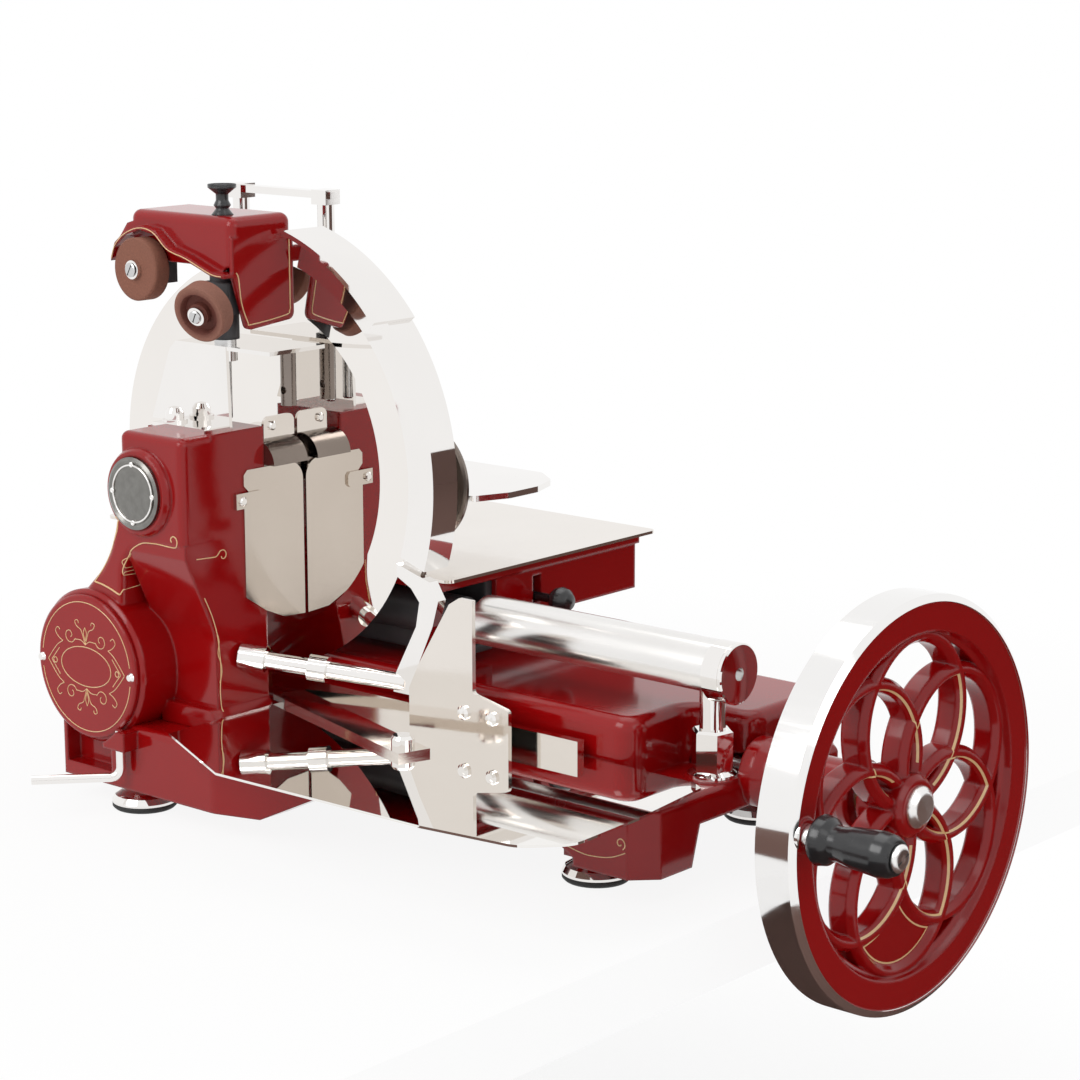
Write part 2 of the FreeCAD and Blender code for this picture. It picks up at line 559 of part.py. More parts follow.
def column_covers():
    name_part(turned("cover", [
        ("0", "0"), ("cover_radius", "0"), ("cover_radius", "cover_thick - 1"),
        ("cover_radius - 1.5", "cover_thick"), ("0", "cover_thick")],
        ("drum_x", "drum_front_y", "drum_z"), "front"), "drum_cover")
    screws = [turned("cover_screw_%d" % i, [
        ("0", "cover_thick"), ("cover_screw_radius", "cover_thick"),
        ("cover_screw_radius - 1", "cover_thick + 2"),
        ("0", "cover_thick + 2.4")],
        ("drum_x + (%d) * cover_screw_circle" % side, "drum_front_y", "drum_z"), "front")
        for i, side in enumerate((-1, 1))]
    small_screws.extend(screws)
    name_part(turned("badge", [
        ("0", "1"), ("badge_radius", "1"), ("badge_radius", "badge_thick"),
        ("badge_radius - 2", "badge_thick + 1"),
        ("badge_radius - 4", "badge_thick"), ("0", "badge_thick")],
        ("knife_x", "front_y", "knife_z - badge_drop"), "front"), "arbor_cap")
    tube = turned("tube", [
        ("0", "0"), ("arbor_radius + 10", "0"), ("arbor_radius + 10", "-3"),
        ("arbor_radius + 8", "-5"), ("arbor_radius + 8", "wall_back_y - knife_y + knife_clear"),
        ("0", "wall_back_y - knife_y + knife_clear")],
        ("knife_x", "wall_back_y", "knife_z"), "front")
    length = "knife_y - knife_clear - wall_back_y"
    nose = rod("arbor_nose", "nose_radius", length, ("nose_x", "knife_y - knife_clear", "nose_z"), "front")
    web = box("nose_web", ("nose_x - knife_x", length, "16"), ("knife_x", "wall_back_y", "knife_z - 6"))
    room = join("arbor_rooms", [
        rod("arbor_room", "arbor_radius + 2", "60", ("knife_x", "knife_y", "knife_z"), "front"),
        box("deflector_slot", ("30", "60", "40"), ("knife_x + head_right - 0.1", "-40",
            "deflector_top + 1 - 40"))])
    name_part(cut("arbor_housing_bored", join("arbor_housing_blank", [tube, nose, web]), room),
        "arbor_housing")


# ---------------------------------------------------------------- bearings, gears and chain

def bush(name, inner, outer, start, end, at, facing):
    """Plain bearing between two distances along its own axis."""
    return turned(name, [(inner, start), (outer, start), (outer, end), (inner, end)], at, facing)


def bearings():
    main_at = ("0", "shaft_y", "shaft_z")
    cross_at = ("drum_x", "0", "shaft_z")
    name_part(join("drive_bush_set", [
        bush("bush_inner", "shaft_radius + run_gap", "bush_radius", "bulkhead_x",
             "bulkhead_x + bulkhead_thick", main_at, "right"),
        bush("bush_outer", "shaft_radius + run_gap", "bush_radius", "housing_end_x - 30", "housing_end_x",
             main_at, "right"),
        bush("bush_web", "cross_radius + run_gap", "bush_radius - 1", "-(hump_front_y + 13)",
             "-(hump_front_y + 4)", cross_at, "front"),
        bush("bush_drum", "cross_radius + run_gap", "bush_radius - 1", "-wall_back_y",
             "-(chain_y + 12)", cross_at, "front")]), "drive_bushes")
    arbor_at = ("knife_x", "0", "knife_z")
    name_part(join("arbor_bush_set", [
        bush("bush_front", "arbor_radius + run_gap", "bush_radius - 1", "-(chain_y - 20)", "-front_y",
             arbor_at, "front"),
        bush("bush_rear", "arbor_radius + run_gap", "arbor_radius + 2", "-9", "14", arbor_at, "front")]),
        "arbor_bushes")


def gears():
    name_part(turned("gear_a", [
        ("shaft_radius", "6"), ("gear_big * 0.6 - gear_slack", "6"), ("gear_big - gear_slack", "10"),
        ("gear_big - gear_slack", "14"), ("shaft_radius + 5", "17"), ("shaft_radius + 5", "27"),
        ("shaft_radius", "27")], ("drum_x", "shaft_y", "shaft_z"), "right"), "bevel_gear")
    name_part(turned("gear_b", [
        ("cross_radius", "13"), ("gear_small * 0.65 - gear_slack", "13"), ("gear_small - gear_slack", "20"),
        ("gear_small - gear_slack", "25"), ("cross_radius", "25")],
        ("drum_x", "shaft_y", "shaft_z"), "front"), "bevel_pinion")
    name_part(rod("cross", "cross_radius", "shaft_y - 12 - chain_y + 8",
                  ("drum_x", "shaft_y - 12", "shaft_z"), "front"), "cross_shaft")
    for label, radius, bore, x, z in (("lower_sprocket", "sprocket_low", "cross_radius", "drum_x",
        "shaft_z"),
                                      ("upper_sprocket", "sprocket_high", "arbor_radius", "knife_x",
                                      "knife_z")):
        name_part(turned(label + "_disc", [
            (bore, "0"), (radius + " - 4" if bore == "cross_radius" else radius, "0"),
            (radius, "1"), (radius, "sprocket_width - 1"),
            (radius + " - 4" if bore == "cross_radius" else radius, "sprocket_width"),
            (bore, "sprocket_width")], (x, "chain_y + sprocket_width / 2", z), "front"), label)


def chain_loop(name, grow, width):
    """Closed figure round both sprockets, larger than their rims by a distance."""
    ends = (("drum_x", "shaft_z", "(sprocket_low + %s)" % grow),
            ("knife_x", "knife_z", "(sprocket_high + %s)" % grow))
    discs = [rod("%s_%d" % (name, i), r, width, (x, "chain_y + %s / 2" % width, z), "front")
             for i, (x, z, r) in enumerate(ends)]
    corners = []
    for (x, z, r), turns in zip(ends, (("left", "right"), ("right", "left"))):
        for side in turns:
            corners.append(("%s + %s * cos(chain_%s_turn)" % (x, r, side),
                            "%s + %s * sin(chain_%s_turn)" % (z, r, side)))
    middle = plate(name + "_middle", corners, width, ("0", "chain_y + %s / 2" % width, "0"), "front")
    return join(name, discs + [middle])


def chain():
    name_part(cut("chain_band", chain_loop("chain_outside", "chain_thick", "chain_width"),
                  chain_loop("chain_inside", "run_gap", "sprocket_width")), "drive_chain")


# ---------------------------------------------------------------- slide rail

def rail():
    name_part(rod("rail_bar", "rail_rod_radius", "end_cap_x - rail_start_x",
        ("rail_start_x", "rail_y", "rail_z"),
                  "right"), "slide_rail")
    tube = turned("rail_tube", [
        ("cover_radius_out - cover_wall", "0"), ("cover_radius_out", "0"),
        ("cover_radius_out", "cover_end_x - cover_start_x"),
        ("cover_radius_out - cover_wall", "cover_end_x - cover_start_x")],
        ("cover_start_x", "rail_y", "rail_z"), "right")
    below = box("rail_slot", ("cover_end_x - cover_start_x + 2", "60", "40"),
                ("cover_start_x - 1", "rail_y - 30", "rail_z - cover_drop - 40"))
    name_part(cut("rail_cover_open", tube, below), "rail_cover")
    name_part(turned("collar", [
        ("rail_rod_radius", "0"), ("collar_radius", "0"), ("collar_radius", "collar_length"),
        ("collar_radius - 0.4", "collar_length + 0.2"), ("collar_radius", "collar_length + 0.4"),
        ("collar_radius", "collar_length + end_cap_thick - 0.6"),
        ("collar_radius - 1", "collar_length + end_cap_thick"), ("4", "collar_length + end_cap_thick"),
        ("4", "collar_length"), ("rail_rod_radius", "collar_length")],
        ("cover_end_x", "rail_y", "rail_z"), "right"), "rail_end_cap")
    neck = turned("post_neck", [
        ("0", "0"), ("washer_radius", "0"), ("washer_radius", "2"), ("washer_radius - 3", "4"),
        ("post_neck_radius", "4"), ("post_neck_radius", "rail_z - rail_rod_radius - base_top + 6"),
        ("0", "rail_z - rail_rod_radius - base_top + 6")], ("post_x", "rail_y", "base_top + 1"))
    hexagon = plate("post_hex", [("hex_radius * cos(%d)" % turn, "hex_radius * sin(%d)" % turn)
                                 for turn in range(20, 380, 60)], "hex_top - hex_bottom",
                    ("post_x", "rail_y", "hex_bottom"))
    fillet(hexagon, "1.5", at_height("hex_top - hex_bottom"), "Chamfer")
    saddle = join("post_saddle", [
        rod("saddle_rod", "rail_rod_radius", "60", ("post_x - 30", "rail_y", "rail_z"), "right"),
        rod("saddle_collar", "collar_radius", "collar_length", ("cover_end_x", "rail_y", "rail_z"),
            "right")])
    name_part(cut("post_whole", join("post_blank", [neck, hexagon]), saddle), "rail_post")


# ---------------------------------------------------------------- guard round the knife

def knife_arc(name, section, start, end):
    """Piece bent round the knife axis; heights run from the knife's back edge to the front."""
    return turned(name, section, ("knife_x", "guard_back_y", "knife_z"),
                  swung("front", start, inside=True), "%s - (%s)" % (end, start))


def guard():
    name_part(knife_arc("ring", [
        ("guard_outer - ring_band", "0"), ("guard_outer", "0"), ("guard_outer", "guard_depth"),
        ("guard_inner", "guard_depth"), ("guard_inner", "guard_depth - guard_wall"),
        ("guard_outer - ring_band", "guard_depth - guard_wall")], "guard_start", "guard_end"), "guard_ring")
    name_part(knife_arc("top_cap", [
        ("guard_outer", "0"), ("guard_outer + 3", "0"), ("guard_outer + 3", "cap_depth"),
        ("guard_outer", "cap_depth")], "cap_start", "cap_end"), "guard_top_cap")
    name_part(plate("ring_clamp", [
        ("-166", "160"), ("-151", "158"), ("-151", "176"), ("-166", "178")],
        "clamp_thick", ("0", "guard_back_y - guard_depth + guard_wall + clamp_thick", "0"), "front"),
        "guard_clamp")
    arm = plate("arm", [
        ("-166", "168"), ("-152", "164"), ("-138", "160"), ("-131", "149"), ("-136", "132"), ("-153", "96"),
        ("-156", "85"), ("-170", "85"), ("-168", "97"), ("-150", "130"), ("-147", "146"), ("-154", "154"),
        ("-166", "160")], "arm_thick", ("0", "arm_front_y + arm_thick", "0"), "front")
    start = ("knife_x + head_right", "cross_rod_left_y", "cross_rod_left_z")
    end = ("-163", "arm_front_y + 4", "cross_rod_z")
    run = V(*[value(c) for c in end]) - V(*[value(c) for c in start])
    lean = FreeCAD.Rotation(V(0, 0, 1), run)
    beyond = box("beyond_column", ("30", "60", "60"), ("knife_x + head_right - 30", "cross_rod_left_y - 30",
                                                       "cross_rod_left_z - 30"))
    bar = cut("cross_bar_cut", rod("cross_bar", "cross_rod_radius", run.Length, start, lean), beyond)
    seat = cut("cross_bar_seat", rod("cross_bar_mount", "cross_rod_radius + 2.5", "17", start, lean), beyond)
    name_part(join("arm_whole", [arm, bar, seat]), "guard_lower_arm")
    middle = rod("rod_clamp_block", "cross_rod_radius + 3", "12",
                 ["(%s) * 0.58 + (%s) * 0.42" % pair for pair in zip(start, end)], lean)
    name_part(cut("rod_clamp_bored", middle, rod("rod_clamp_bore", "cross_rod_radius", run.Length, start,
        lean)),
              "cross_rod_clamp")


# ---------------------------------------------------------------- tray, gauge plate and deflector

def tray():
    corners = [("60", "-141"), ("82", "-118"), ("79", "-58")]
    sheet_plate = plate("tray_sheet", [
        ("-252", "-112"), ("-167", "-152"), ("-5", "-149")] + corners + [
        ("70", "10"), ("60", "16"), ("-252", "16")], "tray_thick", ("0", "0", "tray_z"),
        holes=[("tray_bolt_x", "tray_bolt_y", "tray_bolt_radius")])
    fillet(sheet_plate, "20", corner_at(corners))
    name_part(sheet_plate, "slice_tray")
    name_part(turned("bolt", [
        ("0", "0"), ("tray_bolt_radius + 4", "0"), ("tray_bolt_radius + 4", "tray_z - base_top"),
        ("tray_bolt_radius", "tray_z - base_top"), ("tray_bolt_radius", "bar_top"),
        ("tray_bolt_radius + 3.5", "bar_top"), ("tray_bolt_radius + 3.5", "bar_top + 5"),
        ("tray_bolt_radius + 2", "bar_top + 7"), ("0", "bar_top + 7")],
        ("tray_bolt_x", "tray_bolt_y", "base_top")), "tray_bolt")
    name_part(box("back_bar", ("262", "rail_bar_thick", "rail_bar_height"),
                  ("-284", "rail_bar_y", "tray_z + tray_thick")), "tray_back_rail")
    name_part(plate("brace", [("-brace_reach", "-11"), ("14", "-11"), ("14", "11"), ("-brace_reach", "11")],
                    "bar_top - (tray_z + tray_thick - base_top)",
                    ("tray_bolt_x", "tray_bolt_y", "tray_z + tray_thick"), swung("up", "brace_turn"),
                    holes=[("0", "0", "tray_bolt_radius")]), "tray_brace")


def gauge():
    screws = [("-100", "86"), ("-77", "86")]
    shape = [("-146", "tray_z + tray_thick"), ("-146", "94"), ("-138", "110"), ("-112", "152"),
        ("-104", "157"),
             ("-93", "157"), ("-93", "140"), ("-93", "99"), ("-64", "93"), ("-64", "tray_z + tray_thick")]
    body = plate("gauge_sheet", shape, "gauge_thick", ("0", "gauge_y", "0"), "front")
    fillet(body, "3", corner_at([shape[2], shape[7], shape[8]]))
    name_part(body, "gauge_plate")
    heads = [turned("gauge_screw_%d" % i, [("0", "0"), ("4.5", "0"), ("4.5", "1.5"), ("3", "3"),
        ("0", "3.4")],
                    (x, "gauge_y - gauge_thick", z), "front") for i, (x, z) in enumerate(screws)]
    small_screws.extend(heads)


def deflector():
    """Upright plate on the column's side, its spring clip and the bracket over the arbor nose."""
    side = "knife_x + head_right"
    top = [("deflector_edge_y + 3", "deflector_top"), ("deflector_back_y", "deflector_top")]
    sheet_plate = plate("deflector_sheet", [
        ("deflector_edge_y", "deflector_top - 10"), ("deflector_edge_y", "deflector_top - 3")] + top + [
        ("deflector_back_y", "121"), ("-6", "122"), ("-22", "129"), ("deflector_edge_y", "140"),
        ("deflector_edge_y", "deflector_top - 18"), ("deflector_edge_y + 7", "deflector_top - 17")],
        "deflector_thick", (side, "0", "0"), "right")
    fillet(sheet_plate, "12", corner_at(top[1:]))
    name_part(sheet_plate, "deflector_left")
    clip = plate("clip_sheet", [
        ("deflector_edge_y - 8", "198"), ("deflector_edge_y - 8", "208"), ("-26", "208"), ("-24", "206"),
        ("-24", "200"), ("-26", "198")], "1.5", (side + " + deflector_thick", "0", "0"), "right")
    seat = box("clip_seat", ("deflector_thick", "6", "10"), (side, "deflector_edge_y - 8", "198"))
    name_part(join("clip", [clip, seat]), "deflector_right")
    corners = [("-14", "252"), ("deflector_back_y", "252")]
    bracket = plate("bracket_sheet", [("-14", "nose_z"), ("-14", "252"), ("deflector_back_y", "252"),
                                      ("deflector_back_y", "nose_z")], "2", ("nose_x - 2", "0", "0"),
                                      "right")
    fillet(bracket, "5", corner_at(corners))
    name_part(cut("bracket_open", bracket, rod("nose_clear", "nose_radius", "60",
        ("nose_x", "20", "nose_z"), "front")),
              "deflector_bracket")
    heads = [turned("bracket_screw_%d" % i, [("0", "0"), ("3", "0"), ("3", "1.2"), ("2", "2"), ("0", "2")],
                    (x, y, z), "right") for i, (x, y, z) in enumerate([
                        ("nose_x", "-7", "246"), (side + " + deflector_thick + 1.5",
                        "deflector_edge_y - 3", "203")])]
    small_screws.extend(heads)


# ---------------------------------------------------------------- carriage, table and clamp

def carriage():
    block = box("carriage_block", ("carriage_right_x - 2 - carriage_left_x", "carriage_far_y - skirt_near_y",
                                   "deck_bottom - skirt_bottom + 1"),
                ("carriage_left_x", "skirt_near_y", "skirt_bottom"))
    deck = box("deck", ("carriage_right_x - carriage_left_x", "carriage_far_y - carriage_near_y + 2",
                        "deck_top - deck_bottom"), ("carriage_left_x", "carriage_near_y", "deck_bottom"))
    room = box("carriage_room", ("carriage_right_x - 16 - carriage_left_x",
        "carriage_far_y - skirt_near_y - 12",
                                 "deck_bottom - skirt_bottom + 1"),
               ("carriage_left_x + 7", "skirt_near_y + 6", "skirt_bottom - 1"))
    slot = box("lever_slot", ("20", "8", "18"), ("carriage_right_x - 18", "lever_slot_y - 4",
        "lever_slot_z - 9"))
    nut = box("screw_way", ("screw_slot_width", "20",
        "feed_knob_z + screw_slot_width / 2 - skirt_bottom + 1"),
              ("feed_knob_x - screw_slot_width / 2", "carriage_far_y - 10", "skirt_bottom - 1"))
    shell = join("carriage_shell", [block, deck])
    name_part(cut("carriage_open", cut("carriage_hollow", shell, room), join("carriage_holes", [slot, nut])),
              "carriage_body")
    sleeve = turned("sleeve", [
        ("rail_rod_radius + swing_gap", "0"), ("sleeve_radius", "0"), ("sleeve_radius", "sleeve_length"),
        ("rail_rod_radius + swing_gap", "sleeve_length")], ("sleeve_start_x", "rail_y", "rail_z"), "right")
    web = box("sleeve_web", ("sleeve_length", "10", "10"),
              ("sleeve_start_x", "rail_y - 5", "rail_z - sleeve_radius - 8"))
    foot = box("sleeve_foot", ("sleeve_length", "skirt_near_y - rail_y + 5", "5"),
               ("sleeve_start_x", "rail_y - 5", "rail_z - sleeve_radius - 11"))
    rise = box("sleeve_rise", ("sleeve_length", "6", "deck_bottom - rail_z + sleeve_radius + 11"),
               ("sleeve_start_x", "skirt_near_y - 6", "rail_z - sleeve_radius - 11"))
    bored = cut("sleeve_bored", join("sleeve_blank", [sleeve, web, foot, rise]),
                rod("sleeve_bore", "rail_rod_radius + swing_gap", "sleeve_length + 20",
                    ("sleeve_start_x - 10", "rail_y", "rail_z"), "right"))
    name_part(bored, "carriage_sleeve")
    ball = turned("lever_ball", [
        ("0", "-11"), ("3", "-11"), ("3", "12"), ("5", "13"), ("8", "17"), ("9", "21"), ("8", "25"),
        ("5", "28.5"), ("0", "30")], ("carriage_right_x - 2", "lever_slot_y", "lever_ball_z"), "right")
    block = box("lever_block", ("4", "16", "18"),
                ("carriage_right_x - 9 - swing_gap - 4", "lever_slot_y - 8", "lever_ball_z - 11"))
    name_part(join("lever_set", [ball, block]), "feed_lever")


LEG_LEFT = "(table_left_x + leg_inset)"
LEG_RIGHT = "(table_left_x + leg_inset + leg_span)"


def table():
    top = plate("table_sheet", [
        ("table_left_x", "table_near_y"), ("table_right_x", "table_near_y"),
        ("table_right_x", "table_far_y"),
        ("table_left_x", "table_far_y")], "table_thick", ("0", "0", "deck_top"),
        holes=[(LEG_LEFT, "clamp_y", "leg_radius"), (LEG_RIGHT, "clamp_y", "leg_radius")])
    fillet(top, "6", upright)
    lip = box("table_lip", ("40", "6", "deck_top - feed_knob_z + 16"),
              ("feed_knob_x - 20", "table_far_y - 8", "feed_knob_z - 14"))
    bored = cut("table_bored", join("table_whole", [top, lip]),
                rod("lip_bore", "screw_radius + run_gap", "40",
                    ("feed_knob_x", "table_far_y + 20", "feed_knob_z"),
                    "front"))
    name_part(bored, "meat_table")
    back = ("feed_knob_x", "table_far_y - 2", "feed_knob_z")
    name_part(turned("screw", [
        ("0", "-24"), ("screw_radius", "-24"), ("screw_radius", "138"), ("0", "138")],
        back, "front"), "feed_screw")
    lobes = [rod("lobe_%d" % i, "7", "14", (
        "feed_knob_x + (feed_knob_radius - 7) * cos(%d)" % turn, "table_far_y + 15.5",
        "feed_knob_z + (feed_knob_radius - 7) * sin(%d)" % turn), "front") for i,
        turn in enumerate(range(0, 360, 60))]
    core = rod("knob_core", "feed_knob_radius - 8", "16", ("feed_knob_x", "table_far_y + 16.5",
        "feed_knob_z"),
               "front")
    name_part(cut("knob_bored", join("knob_blank", [core] + lobes),
                  rod("knob_bore", "screw_radius", "60", ("feed_knob_x", "table_far_y + 40", "feed_knob_z"),
                      "front")), "feed_knob")


def clamp():
    legs = [rod("leg_%d" % i, "leg_radius", "frame_top - deck_top + 2", (x, "clamp_y", "deck_top"))
            for i, x in enumerate((LEG_LEFT, LEG_RIGHT))]
    bar = box("frame_bar", ("leg_span + 20", "9", "5"), (LEG_LEFT + " - 11", "clamp_y - 4.5",
        "frame_top - 2"))
    corners = [box("frame_corner_%d" % i, ("14", "14", "10"), (x + " - 7", "clamp_y - 7", "frame_top - 6"))
               for i, x in enumerate((LEG_LEFT, LEG_RIGHT))]
    name_part(join("frame_whole", legs + [bar] + corners), "clamp_frame")
    pressed = plate("clamp_sheet", [
        (LEG_LEFT + " - 16", "clamp_y - 20"), (LEG_RIGHT + " + 20", "clamp_y - 20"), ("-300", "100"),
        ("-222", "100"), ("-200", "116"), ("-191", "140"), ("-191", "168"), ("-200", "192"), ("-222", "208"),
        ("-300", "208"), (LEG_RIGHT + " + 20", "clamp_y + 20"), (LEG_LEFT + " - 16", "clamp_y + 20")],
        "4", ("0", "0", "clamp_z"))
    fillet(pressed, "8", upright)
    sleeves = [rod("clamp_sleeve_%d" % i, "leg_radius + 4", "24", (x, "clamp_y", "clamp_z"))
               for i, x in enumerate((LEG_LEFT, LEG_RIGHT))]
    arm = box("disc_arm", ("12", "100 - grip_disc_y + 6", "8"),
              ("-218", "grip_disc_y + grip_disc_thick / 2", "clamp_z + 4"))
    holes = [rod("clamp_hole_%d" % i, "leg_radius + swing_gap", "60", (x, "clamp_y", "clamp_z - 20"))
             for i, x in enumerate((LEG_LEFT, LEG_RIGHT))]
    name_part(cut("clamp_bored", join("clamp_blank", [pressed, arm] + sleeves), join("clamp_holes", holes)),
              "meat_clamp")
    name_part(turned("press_disc", [
        ("0", "0"), ("grip_disc_radius", "0"), ("grip_disc_radius", "grip_disc_thick - 1"),
        ("grip_disc_radius - 2", "grip_disc_thick"), ("0", "grip_disc_thick")],
        ("grip_disc_x", "grip_disc_y + grip_disc_thick / 2", "grip_disc_z"), "front"), "press_disc")


# ---------------------------------------------------------------- sharpener

def sharpener_stand():
    upright_plate = plate("stand_sheet", [
        ("-337", "knife_z + head_top"), ("-319", "stand_top - 6"), ("-313", "stand_top"),
        ("-267", "stand_top"),
        ("-265", "knife_z + head_top")], "stand_thick", ("0", "stand_y", "0"), "front")
    foot = box("stand_foot", ("48", "22", "stand_thick"), ("-313", "stand_y - 24", "knife_z + head_top"))
    top = box("stand_flange", ("85", "48", "flange_thick"), ("-313", "stand_y - 2",
        "stand_top - flange_thick"))
    guide = rod("stand_guide", "spindle_radius + 4", "8", ("spindle_x", "spindle_y",
        "stand_top - flange_thick - 8"))
    hole = rod("stand_hole", "spindle_radius + run_gap", "40", ("spindle_x", "spindle_y", "stand_top - 30"))
    name_part(cut("stand_bored", join("stand_whole", [upright_plate, foot, top, guide]), hole),
        "sharpener_stand")
    small_screws.append(turned("cap_nut", [
        ("0", "0"), ("8", "0"), ("8", "1.5"), ("6", "1.5"), ("6", "6"), ("4", "9"), ("0", "10")],
        ("-303", "-54", "knife_z + head_top + stand_thick")))
    name_part(turned("spindle", [
        ("0", "-48"), ("spindle_radius - 1", "-48"), ("spindle_radius", "-47"), ("spindle_radius", "0"),
        ("spindle_radius + 3.5", "0"), ("spindle_radius + 3.5", "3"), ("spindle_radius", "3"),
        ("spindle_radius", "72"), ("0", "72")], ("spindle_x", "spindle_y", "stand_top")),
        "sharpener_spindle")
    name_part(cut("catch_drilled", rod("catch_post", "5", "stand_top - flange_thick - 260",
        ("-252", "-3", "260")),
                  rod("catch_hole", "2.5", "20", ("-252", "7", "270"), "front")), "sharpener_catch")


def hood_block(name, shrink, low, high):
    """Upright block with the hood's rounded plan and top, smaller all round by a distance."""
    corners = [("%s %s %s" % (x, sign, shrink), "%s %s %s" % (y, flip, shrink))
               for x, sign, y, flip in (("hood_left_x", "+", "hood_front_y", "+"),
                   ("hood_right_x", "-", "hood_front_y", "+"),
                                        ("hood_right_x", "-", "hood_back_y", "-"),
                                        ("hood_left_x", "+", "hood_back_y", "-"))]
    block = plate(name, corners, "%s - (%s)" % (high, low), ("0", "0", low))
    fillet(block, "hood_round - %s" % shrink, upright)
    fillet(block, "hood_round - %s" % shrink, at_height("%s - (%s)" % (high, low)))
    return block


def sharpener_hood():
    shell = hood_block("hood_shell", "0", "hood_bottom", "hood_top")
    room = hood_block("hood_room", "hood_wall", "hood_bottom - 4", "(hood_top - hood_wall)")
    low = [("hood_front_y + 11", "hood_side_bottom"), ("hood_back_y", "hood_side_bottom + 4")]
    panel = plate("hood_panel", [("hood_front_y", "345"), ("hood_front_y", "hood_top - 12"), (
        "hood_back_y", "hood_top - 12")] + low[::-1], "hood_wall", ("hood_right_x - hood_wall", "0", "0"),
        "right")
    fillet(panel, "5", corner_at(low))
    arch = [("-361.5", "348"), ("-357.5", "357.5"), ("-347.7", "365.2"), ("-334", "369.5"),
        ("-321", "367.5"),
            ("-308", "357.5"), ("-291", "353"), ("-269", "345"), ("hood_right_x", "344")]
    front = plate("hood_front", [("-365", "348"), ("-362", "362"), ("-354", "372"), ("-344", "hood_top - 6"),
                                 ("hood_right_x - 6", "hood_top - 6"),
                                 ("hood_right_x - 6", "350")] + arch[7::-1],
                  "hood_wall", ("0", "hood_front_y + hood_wall", "0"), "front")
    lip = plate("hood_lip", arch + [(x, z + " + 2.5") for x, z in arch[::-1]], "8 + hood_wall",
                ("0", "hood_front_y + hood_wall", "0"), "front")
    ear = box("hood_ear", ("5", "24", "10"), ("hood_right_x - 5", "hood_back_y - 1", "350"))
    name_part(join("hood_whole", [cut("hood_hollow", shell, room), panel, front, lip, ear]),
        "sharpener_hood")
    name_part(turned("lift_knob", [
        ("0", "0"), ("7", "0"), ("4", "4"), ("5.5", "6"), ("4", "9"), ("4", "knob_height - 6"),
        ("9", "knob_height - 2"), ("9", "knob_height"), ("7", "knob_height - 3"),
        ("0", "knob_height - 3")], ("spindle_x", "spindle_y", "hood_top")),
        "lift_knob")


def sharpener_stones():
    rise = "hood_top - hood_wall - stand_top - 3 - swing_gap"
    bearing = turned("swing_boss", [
        ("spindle_radius + run_gap", "0"), ("9", "0"), ("9", rise + " - 3.5"), ("5.5", rise),
        ("spindle_radius + run_gap", rise)], ("spindle_x", "spindle_y", "stand_top + 3 + swing_gap"))
    beam = box("stone_beam", ("76", "17", "hood_top - hood_wall - 353"), ("-340", "-37.5", "353"))
    lug = box("stone_lug", ("14", "12", "24"), ("stone_x - 7", "-40.5", "335"))
    cup_lug = box("cup_lug", ("22", "16", "20"), ("-285", "-42", "cup_z - 4"))
    bores = join("stone_bores", [
        rod("boss_bore", "spindle_radius + run_gap", "73", ("spindle_x", "spindle_y", "stand_top")),
        rod("stone_seat", "stone_pin_radius", "40", ("stone_x", "-20", "stone_z"), "front"),
        rod("cup_seat", "stone_pin_radius", "60", cup_spot(-22), cup_facing())])
    name_part(cut("body_bored", join("body_blank", [bearing, beam, lug, cup_lug]), bores), "sharpener_body")
    pins = [turned(label, [
        ("0", back), ("stone_pin_radius", back), ("stone_pin_radius", front + " - 4"),
        ("stone_pin_radius + 3", front + " - 3.8"), ("stone_pin_radius + 3", front + " - 1"), ("0", front)],
        spot, facing) for label, spot, facing, back, front in (
            ("stone_pin", ("stone_x", "stone_front_y + 12", "stone_z"), "front", "-16", "16"),
            ("cup_pin", cup_spot(0), cup_facing(), "-22", "10"))]
    name_part(join("pin_pair", pins), "stone_pins")
    name_part(turned("grindstone_disc", [
        ("stone_pin_radius + run_gap", "0"), ("stone_radius - 1", "0"), ("stone_radius", "1"),
        ("stone_radius", "11"), ("stone_radius - 1", "12"), ("stone_pin_radius + run_gap", "12")],
        ("stone_x", "stone_front_y + 12", "stone_z"), "front"), "grindstone")
    name_part(turned("cup_disc", [
        ("stone_pin_radius + run_gap", "-6"), ("cup_radius - 1", "-6"), ("cup_radius", "-5"),
        ("cup_radius", "5"),
        ("cup_radius - 1", "6"), ("cup_radius - 5", "6"), ("cup_radius - 7", "2"),
        ("stone_pin_radius + 4", "2"),
        ("stone_pin_radius + 4", "6"), ("stone_pin_radius + run_gap", "6")], cup_spot(0), cup_facing()),
        "cup_stone")


def cup_facing():
    """The cup stone looks to the front, turned a little to the right and tilted down."""
    tilt = FreeCAD.Rotation(V(1, 0, 0), value("cup_tilt"))
    return FreeCAD.Rotation(V(0, 0, 1), value("cup_turn")).multiply(tilt).multiply(FACING["front"])


def cup_spot(along):
    """Point on the cup stone's axis, a distance in front of its centre."""
    return ("cup_x + (%s) * sin(cup_turn) * cos(cup_tilt)" % along,
            "cup_y - (%s) * cos(cup_turn) * cos(cup_tilt)" % along, "cup_z - (%s) * sin(cup_tilt)" % along)


# ---------------------------------------------------------------- catch lever at the foot

